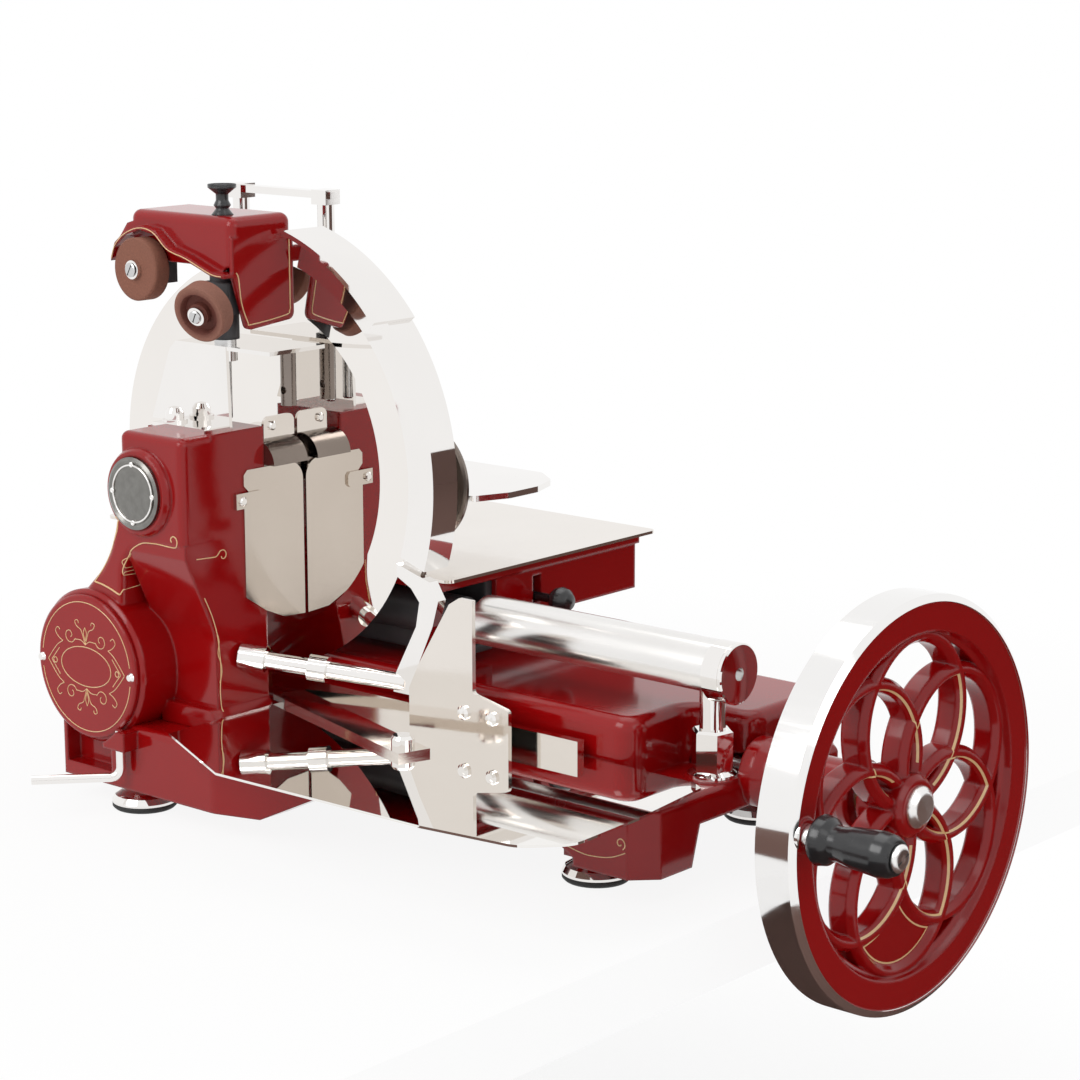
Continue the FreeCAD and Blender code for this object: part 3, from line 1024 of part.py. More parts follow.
def bent_rod(name, radius, drop, reach, bend, at, facing):
    """Round bar that runs down its local Z axis, bends and runs out along its local X axis."""
    body = new_body(name)
    path = new_sketch(body, "XZ_Plane")
    low = "-(%s)" % drop
    corner = "-(%s - %s)" % (drop, bend)
    runs = ((("0", "0"), ("0", corner)), ((bend, low), (reach, low)))
    for i, run in enumerate(runs):
        path.addGeometry(Part.LineSegment(*[V(value(x), value(y), 0) for x, y in run]), False)
        for which, (x, y) in enumerate(run, 1):
            pin_point(path, i, which, x, y)
    circle = Part.Circle(V(value(bend), value(corner), 0), V(0, 0, 1), value(bend))
    arc = path.addGeometry(Part.ArcOfCircle(circle, math.pi, 1.5 * math.pi), False)
    path.addConstraint(Sketcher.Constraint("Coincident", arc, 1, 0, 2))
    path.addConstraint(Sketcher.Constraint("Coincident", arc, 2, 1, 1))
    index = path.addConstraint(Sketcher.Constraint("Radius", arc, value(bend)))
    path.setExpression("Constraints[%d]" % index, formula(bend))
    section = draw_circle(new_sketch(body), "0", "0", radius)
    doc.recompute()
    pipe = body.newObject("PartDesign::AdditivePipe", name + "_pipe")
    pipe.Profile = section
    pipe.Spine = (path, ["Edge%d" % (i + 1) for i in range(len(path.Shape.Edges))])
    doc.recompute()
    return place(body, at, facing)


def catch_lever():
    name_part(bent_rod("lever_wire", "lever_radius", "lever_top + 12 - lever_low_z", "lever_reach",
        "lever_bend",
                       ("lever_x", "lever_y", "lever_top + 12"), swung("up", "lever_turn")), "catch_lever")


FEET = [("foot_front_x", "foot_front_y"), ("foot_front_x", "foot_back_y"),
        ("foot_left_x", "foot_left_y"), ("foot_left_x", "foot_back_y")]


flywheel()
crank()
knife()
base_casting()
feet()
column_housing()
column_covers()
bearings()
gears()
chain()
rail()
guard()
tray()
gauge()
deflector()
carriage()
table()
clamp()
sharpener_stand()
sharpener_hood()
sharpener_stones()
catch_lever()
name_part(join("screw_set", small_screws), "frame_screws")

# ---------------------------------------------------------------- export

doc.recompute()
os.makedirs("parts", exist_ok=True)
for item in doc.Objects:
    if "Invalid" in item.State or "Error" in item.State:
        raise RuntimeError("broken object " + item.Name)
for item in parts:
    if item.Shape.isNull() or not item.Shape.isValid():
        raise RuntimeError("bad shape " + item.Label)
    item.Shape.exportStep("parts/" + item.Label + ".step")
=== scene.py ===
import bpy
import json
import math
import bmesh
from mathutils import Matrix, Vector
from mathutils.bvhtree import BVHTree


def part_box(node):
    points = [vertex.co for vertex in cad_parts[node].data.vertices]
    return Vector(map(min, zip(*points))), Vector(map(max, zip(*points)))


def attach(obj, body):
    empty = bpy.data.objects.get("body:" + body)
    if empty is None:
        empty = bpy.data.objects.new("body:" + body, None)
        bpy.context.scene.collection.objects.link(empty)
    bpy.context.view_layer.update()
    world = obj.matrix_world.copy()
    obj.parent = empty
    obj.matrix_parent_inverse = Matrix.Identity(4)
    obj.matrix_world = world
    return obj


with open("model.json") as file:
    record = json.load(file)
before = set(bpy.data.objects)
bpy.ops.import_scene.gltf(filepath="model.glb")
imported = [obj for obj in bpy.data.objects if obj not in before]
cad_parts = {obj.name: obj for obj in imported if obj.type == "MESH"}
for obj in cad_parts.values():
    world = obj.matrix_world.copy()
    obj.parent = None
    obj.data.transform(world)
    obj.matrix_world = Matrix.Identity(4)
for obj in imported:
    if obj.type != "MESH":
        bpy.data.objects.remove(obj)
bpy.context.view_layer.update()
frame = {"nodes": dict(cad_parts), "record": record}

MM = 0.001
NODES = frame["nodes"]

# Places shared by several pieces, in metres.
SHAFT = Vector((0.0, 0.085, 0.0585))
WHEEL_FRONT = 0.1455 + 0.0255
DRUM = Vector((-0.345, -0.094, 0.0917))
STONE = Vector((-0.332, -0.046, 0.345))
CUP = Vector((-0.268, -0.059, 0.324))
CUP_TURN = math.radians(11)
CUP_TILT = math.radians(17)
CUP_AXIS = Vector((math.sin(CUP_TURN) * math.cos(CUP_TILT), -math.cos(CUP_TURN) * math.cos(CUP_TILT),
                   -math.sin(CUP_TILT)))
RING_RADIUS = 0.050
RING_TURN = 25
RING_COUNT = 6
FAN_RING = 4
STRIPE_HALF = 0.0005
PETAL_STRIPE_INSET = 0.0024
FAN_STRIPE_INSET = 0.0055
PETAL_STRIPE_INNER = 0.025
PETAL_STRIPE_OUTER = 0.093
FAN_STRIPE_INNER = 0.022
BRIGHT_RIM_RADIUS = 0.1201
WHEEL_FACE_DEPTH = 0.02
DISH_RADIUS = 0.0125
CUP_RIM_RADIUS = 0.0165
BADGE_RING_RADIUS = 0.0185
GRIP_SCREW_SINK = 0.0012
CREAM = (0.80, 0.53, 0.26, 1)
RED_LOW = (0.26, 0.0015, 0.002)
RED_HIGH = (0.335, 0.003, 0.004)
BENCH_EDGE_X = 0.102
FLOOR_GLOW = 0.90


# ---------------------------------------------------------------- camera, floor and light

def look(yaw, pitch, roll):
    """Camera turn from a compass angle, a downward angle and a roll, in degrees."""
    yaw, pitch, roll = (math.radians(a) for a in (yaw, pitch, roll))
    ahead = Vector((-math.sin(yaw) * math.cos(pitch), math.cos(yaw) * math.cos(pitch), -math.sin(pitch)))
    side = Vector((math.cos(yaw), math.sin(yaw), 0))
    top = side.cross(ahead)
    turn = Matrix((side, top, -ahead)).transposed()
    return (turn @ Matrix.Rotation(roll, 3, "Z")).to_4x4()


def make_camera():
    """Long lens from the front right, a little above the slicer."""
    data = bpy.data.cameras.new("camera")
    data.lens = 96.547
    data.sensor_width = 36
    data.clip_start = 0.05
    data.clip_end = 30
    cam = bpy.data.objects.new("camera", data)
    bpy.context.scene.collection.objects.link(cam)
    cam.matrix_world = Matrix.Translation((1.05341, -1.27375, 0.55635)) @ look(40.759, 11.952, -0.079)
    bpy.context.scene.camera = cam


def new_material(name):
    mat = bpy.data.materials.new(name)
    mat.use_nodes = True
    mat.node_tree.nodes.clear()
    return mat, mat.node_tree


def add(tree, kind, **settings):
    node = tree.nodes.new(kind)
    for key, val in settings.items():
        setattr(node, key, val)
    return node


def pale_surface():
    """Floor that is white to the camera far off and keeps a soft shadow under the slicer."""
    mat, tree = new_material("pale_floor")
    out = add(tree, "ShaderNodeOutputMaterial")
    diffuse = add(tree, "ShaderNodeBsdfDiffuse")
    diffuse.inputs["Color"].default_value = (0.88, 0.88, 0.875, 1)
    glow = add(tree, "ShaderNodeEmission")
    path = add(tree, "ShaderNodeLightPath")
    seen = add(tree, "ShaderNodeMath", operation="MAXIMUM")
    share = add(tree, "ShaderNodeMath", operation="MULTIPLY")
    coords = add(tree, "ShaderNodeTexCoord")
    away = add(tree, "ShaderNodeVectorMath", operation="DISTANCE")
    away.inputs[1].default_value = (-0.12, 0.05, 0)
    spread = add(tree, "ShaderNodeMapRange", interpolation_type="SMOOTHSTEP")
    for socket, number in (("From Min", 0.30), ("From Max", 0.75), ("To Min", FLOOR_GLOW), ("To Max", 1.0)):
        spread.inputs[socket].default_value = number
    mix = add(tree, "ShaderNodeMixShader")
    tree.links.new(coords.outputs["Object"], away.inputs[0])
    tree.links.new(away.outputs["Value"], spread.inputs["Value"])
    tree.links.new(spread.outputs["Result"], share.inputs[1])
    tree.links.new(path.outputs["Is Camera Ray"], seen.inputs[0])
    tree.links.new(path.outputs["Is Glossy Ray"], seen.inputs[1])
    tree.links.new(seen.outputs[0], share.inputs[0])
    tree.links.new(share.outputs[0], mix.inputs["Fac"])
    tree.links.new(diffuse.outputs[0], mix.inputs[1])
    tree.links.new(glow.outputs[0], mix.inputs[2])
    tree.links.new(mix.outputs[0], out.inputs["Surface"])
    return mat


def slab(name, low, high, mat):
    mesh = bpy.data.meshes.new(name)
    xs, ys, zs = zip(low, high)
    verts = [(x, y, z) for x in xs for y in ys for z in zs]
    faces = [(0, 1, 3, 2), (4, 6, 7, 5), (0, 4, 5, 1), (2, 3, 7, 6), (0, 2, 6, 4), (1, 5, 7, 3)]
    mesh.from_pydata(verts, [], faces)
    mesh.materials.append(mat)
    piece = bpy.data.objects.new(name, mesh)
    bpy.context.scene.collection.objects.link(piece)
    return piece


def area_light(name, size, power, spot, target):
    data = bpy.data.lights.new(name, "AREA")
    data.shape = "RECTANGLE"
    data.size, data.size_y = size
    data.energy = power
    lamp = bpy.data.objects.new(name, data)
    bpy.context.scene.collection.objects.link(lamp)
    lamp.location = spot
    lamp.rotation_euler = (Vector(target) - Vector(spot)).to_track_quat("-Z", "Y").to_euler()
    return lamp


def make_world():
    """Even studio surround: white to the camera and in reflections, dimmer where it lights the slicer."""
    world = bpy.data.worlds.new("studio")
    world.use_nodes = True
    tree = world.node_tree
    tree.nodes.clear()
    out = add(tree, "ShaderNodeOutputWorld")
    shade = add(tree, "ShaderNodeBackground")
    shade.inputs["Color"].default_value = (1, 1, 1, 1)
    shade.inputs["Strength"].default_value = 0.55
    white = add(tree, "ShaderNodeBackground")
    white.inputs["Color"].default_value = (1, 1, 1, 1)
    white.inputs["Strength"].default_value = 1.0
    path = add(tree, "ShaderNodeLightPath")
    seen = add(tree, "ShaderNodeMath", operation="MAXIMUM")
    most = add(tree, "ShaderNodeMath", operation="MAXIMUM")
    mix = add(tree, "ShaderNodeMixShader")
    tree.links.new(path.outputs["Is Camera Ray"], seen.inputs[0])
    tree.links.new(path.outputs["Is Glossy Ray"], seen.inputs[1])
    tree.links.new(seen.outputs[0], most.inputs[0])
    tree.links.new(path.outputs["Is Transmission Ray"], most.inputs[1])
    tree.links.new(most.outputs[0], mix.inputs["Fac"])
    tree.links.new(shade.outputs[0], mix.inputs[1])
    tree.links.new(white.outputs[0], mix.inputs[2])
    tree.links.new(mix.outputs[0], out.inputs["Surface"])
    bpy.context.scene.world = world
    bpy.context.scene.view_settings.view_transform = "Standard"


def flag(name, low, high, mat):
    """Dark studio flag that only shows as a reflection in bright metal and gloss."""
    piece = slab(name, low, high, mat)
    piece.visible_camera = False
    piece.visible_diffuse = False
    piece.visible_shadow = False


def flag_cloth():
    mat, tree = new_material("flag_cloth")
    out = add(tree, "ShaderNodeOutputMaterial")
    cloth = add(tree, "ShaderNodeBsdfDiffuse")
    cloth.inputs["Color"].default_value = (0.17, 0.105, 0.09, 1)
    tree.links.new(cloth.outputs[0], out.inputs["Surface"])
    return mat


def make_flags():
    cloth = flag_cloth()
    flag("flag_right_low", (0.30, 0.35, -0.26), (2.80, 2.80, -0.25), cloth)
    flag("flag_right_back", (1.9, 0.1, -0.25), (1.92, 2.4, 0.35), cloth)
    flag("flag_below", (-0.7, -0.9, -0.275), (0.6, 0.6, -0.27), cloth)
    flag("flag_bench", (-0.14, -0.50, 0.0012), (0.10, -0.16, 0.0017), cloth)


def make_stage():
    floor = pale_surface()
    slab("bench_top", (-1.6, -1.3, -0.04), (BENCH_EDGE_X, 1.6, 0), floor)
    slab("floor_below", (-4, -4, -0.30), (4, 4, -0.28), floor)
    make_world()
    area_light("key_light", (1.2, 1.2), 17, (-0.5, -1.6, 1.4), (-0.15, 0, 0.1))
    area_light("fill_light", (1.4, 1.0), 4.5, (1.8, -0.2, 1.1), (-0.1, 0, 0.1))
    area_light("top_light", (1.6, 1.6), 9, (-0.3, 0.4, 2.0), (-0.15, 0.05, 0.1))
    make_flags()


# ---------------------------------------------------------------- materials

def shader(tree, color, rough, metal=0.0, coat=0.0, coat_rough=0.03, specular=0.5):
    bsdf = add(tree, "ShaderNodeBsdfPrincipled")
    bsdf.inputs["Base Color"].default_value = tuple(color[:3]) + (1,)
    bsdf.inputs["Roughness"].default_value = rough
    bsdf.inputs["Metallic"].default_value = metal
    bsdf.inputs["Coat Weight"].default_value = coat
    bsdf.inputs["Coat Roughness"].default_value = coat_rough
    bsdf.inputs["Specular IOR Level"].default_value = specular
    return bsdf


def noise(tree, scale, detail=3, stretch=(1, 1, 1)):
    coords = add(tree, "ShaderNodeTexCoord")
    mapping = add(tree, "ShaderNodeMapping")
    mapping.inputs["Scale"].default_value = stretch
    tree.links.new(coords.outputs["Object"], mapping.inputs["Vector"])
    texture = add(tree, "ShaderNodeTexNoise")
    texture.inputs["Scale"].default_value = scale
    texture.inputs["Detail"].default_value = detail
    tree.links.new(mapping.outputs[0], texture.inputs["Vector"])
    return texture.outputs["Fac"]


def ranged(tree, source, low, high):
    """Noise value spread between two numbers."""
    spread = add(tree, "ShaderNodeMapRange")
    spread.inputs["From Min"].default_value = 0.3
    spread.inputs["From Max"].default_value = 0.7
    spread.inputs["To Min"].default_value = low
    spread.inputs["To Max"].default_value = high
    tree.links.new(source, spread.inputs["Value"])
    return spread.outputs["Result"]


def tint(tree, source, low, high):
    ramp = add(tree, "ShaderNodeMix", data_type="RGBA")
    ramp.inputs["A"].default_value = tuple(low) + (1,)
    ramp.inputs["B"].default_value = tuple(high) + (1,)
    tree.links.new(source, ramp.inputs["Factor"])
    return ramp.outputs["Result"]


def soft_edges(tree, radius):
    """Normals of a cast or moulded piece, whose edges and turns are worn round."""
    node = add(tree, "ShaderNodeBevel", samples=6)
    node.inputs["Radius"].default_value = radius
    return node.outputs["Normal"]


def bump(tree, source, strength, distance, radius=0.0):
    node = add(tree, "ShaderNodeBump")
    if radius:
        tree.links.new(soft_edges(tree, radius), node.inputs["Normal"])
    node.inputs["Strength"].default_value = strength
    node.inputs["Distance"].default_value = distance
    tree.links.new(source, node.inputs["Height"])
    return node.outputs["Normal"]


def cup_material():
    """Fired red-brown stone, with painted shade darkening the inside of the dish."""
    mat, tree = new_material("cup_stone")
    bsdf = shader(tree, (0.2, 0.07, 0.045), 0.75)
    speck = noise(tree, 900, 6)
    coords = add(tree, "ShaderNodeTexCoord")
    arm = add(tree, "ShaderNodeVectorMath", operation="SUBTRACT")
    arm.inputs[1].default_value = CUP
    across = add(tree, "ShaderNodeVectorMath", operation="CROSS_PRODUCT")
    across.inputs[1].default_value = CUP_AXIS
    reach = add(tree, "ShaderNodeVectorMath", operation="LENGTH")
    # Mask for the painted shade: 0 inside the dish, rising to 1 at the rim.
    dish = add(tree, "ShaderNodeMapRange")
    span = (("From Min", DISH_RADIUS), ("From Max", CUP_RIM_RADIUS), ("To Min", 0.0), ("To Max", 1.0))
    for socket, number in span:
        dish.inputs[socket].default_value = number
    tree.links.new(coords.outputs["Object"], arm.inputs[0])
    tree.links.new(arm.outputs[0], across.inputs[0])
    tree.links.new(across.outputs[0], reach.inputs[0])
    tree.links.new(reach.outputs["Value"], dish.inputs["Value"])
    rim = tint(tree, speck, (0.19, 0.075, 0.05), (0.30, 0.13, 0.09))
    # Painted shade: a dark brown stone colour inside the dish, where the recess lies in shadow.
    dish_shade = tint(tree, speck, (0.085, 0.018, 0.010), (0.15, 0.035, 0.022))
    mix = add(tree, "ShaderNodeMix", data_type="RGBA")
    tree.links.new(dish.outputs["Result"], mix.inputs["Factor"])
    tree.links.new(dish_shade, mix.inputs["A"])
    tree.links.new(rim, mix.inputs["B"])
    tree.links.new(mix.outputs["Result"], bsdf.inputs["Base Color"])
    tree.links.new(bump(tree, speck, 0.5, 0.0004), bsdf.inputs["Normal"])
    finish_material(tree, bsdf)
    return mat


def finish_material(tree, bsdf):
    out = add(tree, "ShaderNodeOutputMaterial")
    tree.links.new(bsdf.outputs[0], out.inputs["Surface"])


def enamel(tree):
    bsdf = shader(tree, RED_LOW, 0.10, coat=0.0, specular=0.42)
    tree.links.new(tint(tree, noise(tree, 9, 2), RED_LOW, RED_HIGH), bsdf.inputs["Base Color"])
    tree.links.new(bump(tree, noise(tree, 160, 2), 0.04, 0.0004, 0.0024), bsdf.inputs["Normal"])
    return bsdf


def red_enamel():
    """Deep red gloss enamel: slow colour drift and the faint ripple of sprayed paint."""
    mat, tree = new_material("red_enamel")
    finish_material(tree, enamel(tree))
    return mat


def polished(name, low, high, rough, spread, grain=(1, 1, 1), grain_scale=60, depth=0.02, radius=0.0):
    """Bright metal: colour drift, uneven gloss and a fine grain."""
    mat, tree = new_material(name)
    bsdf = shader(tree, low, rough, metal=1.0)
    drift = noise(tree, 14, 3)
    tree.links.new(tint(tree, drift, low, high), bsdf.inputs["Base Color"])
    lines = noise(tree, grain_scale, 5, grain)
    tree.links.new(ranged(tree, lines, rough, rough + spread), bsdf.inputs["Roughness"])
    tree.links.new(bump(tree, lines, depth, 0.0002, radius), bsdf.inputs["Normal"])
    finish_material(tree, bsdf)
    return mat


def plain(name, low, high, rough, scale=60, depth=0.15, coat=0.0, spread=0.1):
    """Dull or moulded material with a fine mottled surface."""
    mat, tree = new_material(name)
    bsdf = shader(tree, low, rough, coat=coat)
    speck = noise(tree, scale, 6)
    tree.links.new(tint(tree, speck, low, high), bsdf.inputs["Base Color"])
    tree.links.new(ranged(tree, speck, rough, rough + spread), bsdf.inputs["Roughness"])
    tree.links.new(bump(tree, speck, depth, 0.0004, 0.0028), bsdf.inputs["Normal"])
    finish_material(tree, bsdf)
    return mat


def cream_paint():
    mat, tree = new_material("cream_line")
    bsdf = shader(tree, CREAM, 0.3, coat=0.6)
    drift = noise(tree, 120, 3)
    tree.links.new(tint(tree, drift, (0.72, 0.44, 0.19), (0.88, 0.62, 0.34)), bsdf.inputs["Base Color"])
    finish_material(tree, bsdf)
    return mat


def spun_metal(name, low, high, rough):
    """Disc polished in circles, which gives the bow-tie glint of a spun face."""
    mat, tree = new_material(name)
    bsdf = shader(tree, low, rough, metal=1.0)
    bsdf.inputs["Anisotropic"].default_value = 0.75
    tangent = add(tree, "ShaderNodeTangent", direction_type="RADIAL", axis="Y")
    tree.links.new(tangent.outputs[0], bsdf.inputs["Tangent"])
    rings = noise(tree, 260, 2, (1, 0.02, 1))
    tree.links.new(tint(tree, rings, low, high), bsdf.inputs["Base Color"])
    tree.links.new(ranged(tree, rings, rough, rough + 0.08), bsdf.inputs["Roughness"])
    finish_material(tree, bsdf)
    return mat


class Maths:
    """Small helper that chains Math nodes over positions in one material."""

    def __init__(self, tree):
        self.tree = tree
        coords = add(tree, "ShaderNodeTexCoord")
        split = add(tree, "ShaderNodeSeparateXYZ")
        tree.links.new(coords.outputs["Object"], split.inputs[0])
        self.x, self.y, self.z = (split.outputs[i] for i in range(3))

    def op(self, kind, a, b=None):
        node = add(self.tree, "ShaderNodeMath", operation=kind)
        for i, item in enumerate((a, b)):
            if item is None:
                continue
            if isinstance(item, (int, float)):
                node.inputs[i].default_value = item
            else:
                self.tree.links.new(item, node.inputs[i])
        return node.outputs[0]

    def reach(self, y, z):
        """Distance in the wheel's plane from a point."""
        dy = self.op("SUBTRACT", self.y, y)
        dz = self.op("SUBTRACT", self.z, z)
        return self.op("SQRT", self.op("ADD", self.op("MULTIPLY", dy, dy), self.op("MULTIPLY", dz, dz)))

    def near(self, a, b, width):
        """1 where two values lie within a width of each other."""
        gap = self.op("ABSOLUTE", self.op("SUBTRACT", a, b))
        return self.op("LESS_THAN", gap, width)


def ring_centre(index):
    turn = math.radians(RING_TURN + 360 / RING_COUNT * index)
    return SHAFT.y + RING_RADIUS * math.cos(turn), SHAFT.z + RING_RADIUS * math.sin(turn)


def wheel_material():
    """Red enamel wheel with a bright turned rim and cream lines round petals and fan."""
    mat, tree = new_material("wheel_enamel")
    red = enamel(tree)
    steel = shader(tree, (0.88, 0.87, 0.86), 0.08, metal=1.0)
    lines = noise(tree, 40, 4, (0.2, 6, 6))
    tree.links.new(ranged(tree, lines, 0.05, 0.12), steel.inputs["Roughness"])
    cream = shader(tree, CREAM, 0.3, coat=0.6)
    m = Maths(tree)
    centre = m.reach(SHAFT.y, SHAFT.z)
    reach = [m.reach(*ring_centre(i)) for i in range(RING_COUNT)]
    stripe = None
    for i in range(RING_COUNT):
        leaf = m.op("MAXIMUM", reach[i], reach[(i + 1) % RING_COUNT])
        line = m.near(leaf, RING_RADIUS - PETAL_STRIPE_INSET, STRIPE_HALF)
        stripe = line if stripe is None else m.op("MAXIMUM", stripe, line)
    inside = m.op("SUBTRACT", reach[FAN_RING], RING_RADIUS - FAN_STRIPE_INSET)
    beside = [m.op("SUBTRACT", RING_RADIUS + FAN_STRIPE_INSET, reach[FAN_RING + i]) for i in (-1, 1)]
    fan_edge = m.op("MAXIMUM", inside, m.op("MAXIMUM", *beside))
    fan = m.op("MULTIPLY", m.near(fan_edge, 0.0, STRIPE_HALF), m.op("GREATER_THAN", centre, FAN_STRIPE_INNER))
    petals = m.op("MULTIPLY", m.op("LESS_THAN", centre, PETAL_STRIPE_OUTER),
                  m.op("GREATER_THAN", centre, PETAL_STRIPE_INNER))
    stripe = m.op("MAXIMUM", m.op("MULTIPLY", stripe, petals), fan)
    front = m.op("GREATER_THAN", m.x, WHEEL_FRONT - WHEEL_FACE_DEPTH)
    stripe = m.op("MULTIPLY", stripe, front)
    painted = add(tree, "ShaderNodeMixShader")
    tree.links.new(stripe, painted.inputs["Fac"])
    tree.links.new(red.outputs[0], painted.inputs[1])
    tree.links.new(cream.outputs[0], painted.inputs[2])
    whole = add(tree, "ShaderNodeMixShader")
    tree.links.new(m.op("GREATER_THAN", centre, BRIGHT_RIM_RADIUS), whole.inputs["Fac"])
    tree.links.new(painted.outputs[0], whole.inputs[1])
    tree.links.new(steel.outputs[0], whole.inputs[2])
    out = add(tree, "ShaderNodeOutputMaterial")
    tree.links.new(whole.outputs[0], out.inputs["Surface"])
    return mat


MATERIALS = {
    "red_enamel": red_enamel(),
    "chrome": polished("chrome", (0.84, 0.82, 0.80), (0.90, 0.88, 0.86), 0.03, 0.03),
    "warm_steel": polished("warm_steel", (0.60, 0.535, 0.475), (0.68, 0.62, 0.555), 0.10, 0.06,
                           (1, 1, 8), 120, 0.02),
    "hub_chrome": polished("hub_chrome", (0.86, 0.845, 0.83), (0.90, 0.89, 0.88), 0.22, 0.05,
                           radius=0.002),
    "stainless": polished("stainless", (0.76, 0.71, 0.66), (0.83, 0.785, 0.735), 0.07, 0.06,
                          (1, 1, 8), 120, 0.02),
    "knife_steel": polished("knife_steel", (0.84, 0.81, 0.775), (0.88, 0.85, 0.82), 0.012, 0.008,
                            (1, 1, 1), 30, 0.0),
    "steel_bright": polished("steel_bright", (0.55, 0.55, 0.55), (0.66, 0.66, 0.66), 0.18, 0.1),
    "gear_iron": plain("gear_iron", (0.03, 0.03, 0.032), (0.07, 0.07, 0.075), 0.45),
    "bronze": polished("bronze", (0.5, 0.33, 0.14), (0.6, 0.42, 0.2), 0.2, 0.1),
    "dark_bronze": polished("dark_bronze", (0.20, 0.165, 0.145), (0.32, 0.275, 0.245), 0.16, 0.1),
    "satin_chrome": polished("satin_chrome", (0.80, 0.785, 0.765), (0.87, 0.855, 0.84), 0.17, 0.05,
                             (0.1, 3, 3), 90),
    "black_plastic": plain("black_plastic", (0.008, 0.008, 0.009), (0.018, 0.018, 0.02), 0.18, 200, 0.05,
                           0.3),
    "black_rubber": plain("black_rubber", (0.012, 0.012, 0.012), (0.03, 0.03, 0.03), 0.6, 300, 0.2),
    "abrasive": plain("abrasive", (0.16, 0.055, 0.035), (0.30, 0.12, 0.075), 0.75, 900, 0.5),
    "cream": cream_paint(),
    "tray_steel": polished("tray_steel", (0.85, 0.83, 0.80), (0.89, 0.87, 0.845), 0.015, 0.01,
                           (1, 1, 1), 40, 0.0),
    "spun": spun_metal("spun_face", (0.17, 0.165, 0.155), (0.26, 0.255, 0.24), 0.16),
    "cup": cup_material(),
    # Near-black finish for the painted shade of the screw slots.
    "slot_shade": plain("slot_shade", (0.02, 0.018, 0.016), (0.05, 0.045, 0.04), 0.5),
    "wheel": wheel_material(),
}
# Pieces whose finish differs from that of their material slot.
SPECIAL = {
    "flywheel": "wheel", "slice_tray": "tray_steel", "knife": "knife_steel", "arbor_cap": "spun",
    "rail_cover": "satin_chrome", "cup_stone": "cup", "hub_cap": "hub_chrome",
    "handle_pin": "hub_chrome", "deflector_left": "warm_steel", "deflector_right": "warm_steel",
}


def dress_nodes():
    slots = {row["node"]: row["material_slot"] for row in frame["record"]["subparts"]}
    for name, piece in NODES.items():
        mat = MATERIALS[SPECIAL.get(name, slots[name])]
        piece.data.materials.clear()
        piece.data.materials.append(mat)


# ---------------------------------------------------------------- painted lines

def skin(node):
    """Search tree over one CAD piece's faces."""
    mesh = NODES[node].data
    return BVHTree.FromPolygons([v.co for v in mesh.vertices], [tuple(p.vertices) for p in mesh.polygons])


def smooth(spots, closed=False, steps=6):
    """Points of an even curve through given spots."""
    count = len(spots)
    last = count if closed else count - 1
    result = []
    for i in range(last):
        a, b, c, d = [spots[j % count] if closed else spots[min(max(j, 0), count - 1)]
                      for j in (i - 1, i, i + 1, i + 2)]
        for k in range(steps):
            t = k / steps
            result.append(tuple(0.5 * (2 * q + (r - p) * t + (2 * p - 5 * q + 4 * r - s) * t * t
                                       + (3 * q - p - 3 * r + s) * t ** 3) for p, q, r, s in zip(a, b, c, d)))
    return result if closed else result + [spots[-1]]


def front_at(x, z):
    """Point in millimetres before the front, and the way in."""
    return Vector((x, -200, z)) * MM, Vector((0, 1, 0))


def right_at(y, z):
    return Vector((200, y, z)) * MM, Vector((-1, 0, 0))


def stroke(name, spots, side, node, body="frame", closed=False, thick=0.32, steps=6, mat="cream"):
    """Painted stroke along a curve, laid onto the skin of a CAD piece."""
    tree = skin(node)
    data = bpy.data.curves.new(name, "CURVE")
    data.dimensions = "3D"
    data.bevel_depth = thick * MM
    data.bevel_resolution = 1
    laid = []
    for u, v in smooth(spots, closed, steps):
        start, way = side(u, v)
        hit, _, _, _ = tree.ray_cast(start, way)
        if hit:
            laid.append(hit - way * thick * 0.4 * MM)
    spline = data.splines.new("POLY")
    spline.points.add(len(laid) - 1)
    for point, spot in zip(spline.points, laid):
        point.co = tuple(spot) + (1,)
    spline.use_cyclic_u = closed
    data.materials.append(MATERIALS[mat])
    piece = bpy.data.objects.new(name, data)
    bpy.context.scene.collection.objects.link(piece)
    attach(piece, body)
    return piece


def arc(centre, radius, start, end, count=10, flat=1.0):
    """Spots along an arc, in degrees; flat squeezes it in height."""
    turns = [math.radians(start + (end - start) * i / (count - 1)) for i in range(count)]
    return [(centre[0] + radius * math.cos(a), centre[1] + radius * flat * math.sin(a)) for a in turns]


def curl(centre, radius, start, sweep, count=12, close=0.25):
    """Spots along a spiral that winds in from a radius to a share of it."""
    spots = []
    for i in range(count):
        share = i / (count - 1)
        a = math.radians(start + sweep * share)
        r = radius * (1 - (1 - close) * share)
        spots.append((centre[0] + r * math.cos(a), centre[1] + r * math.sin(a)))
    return spots


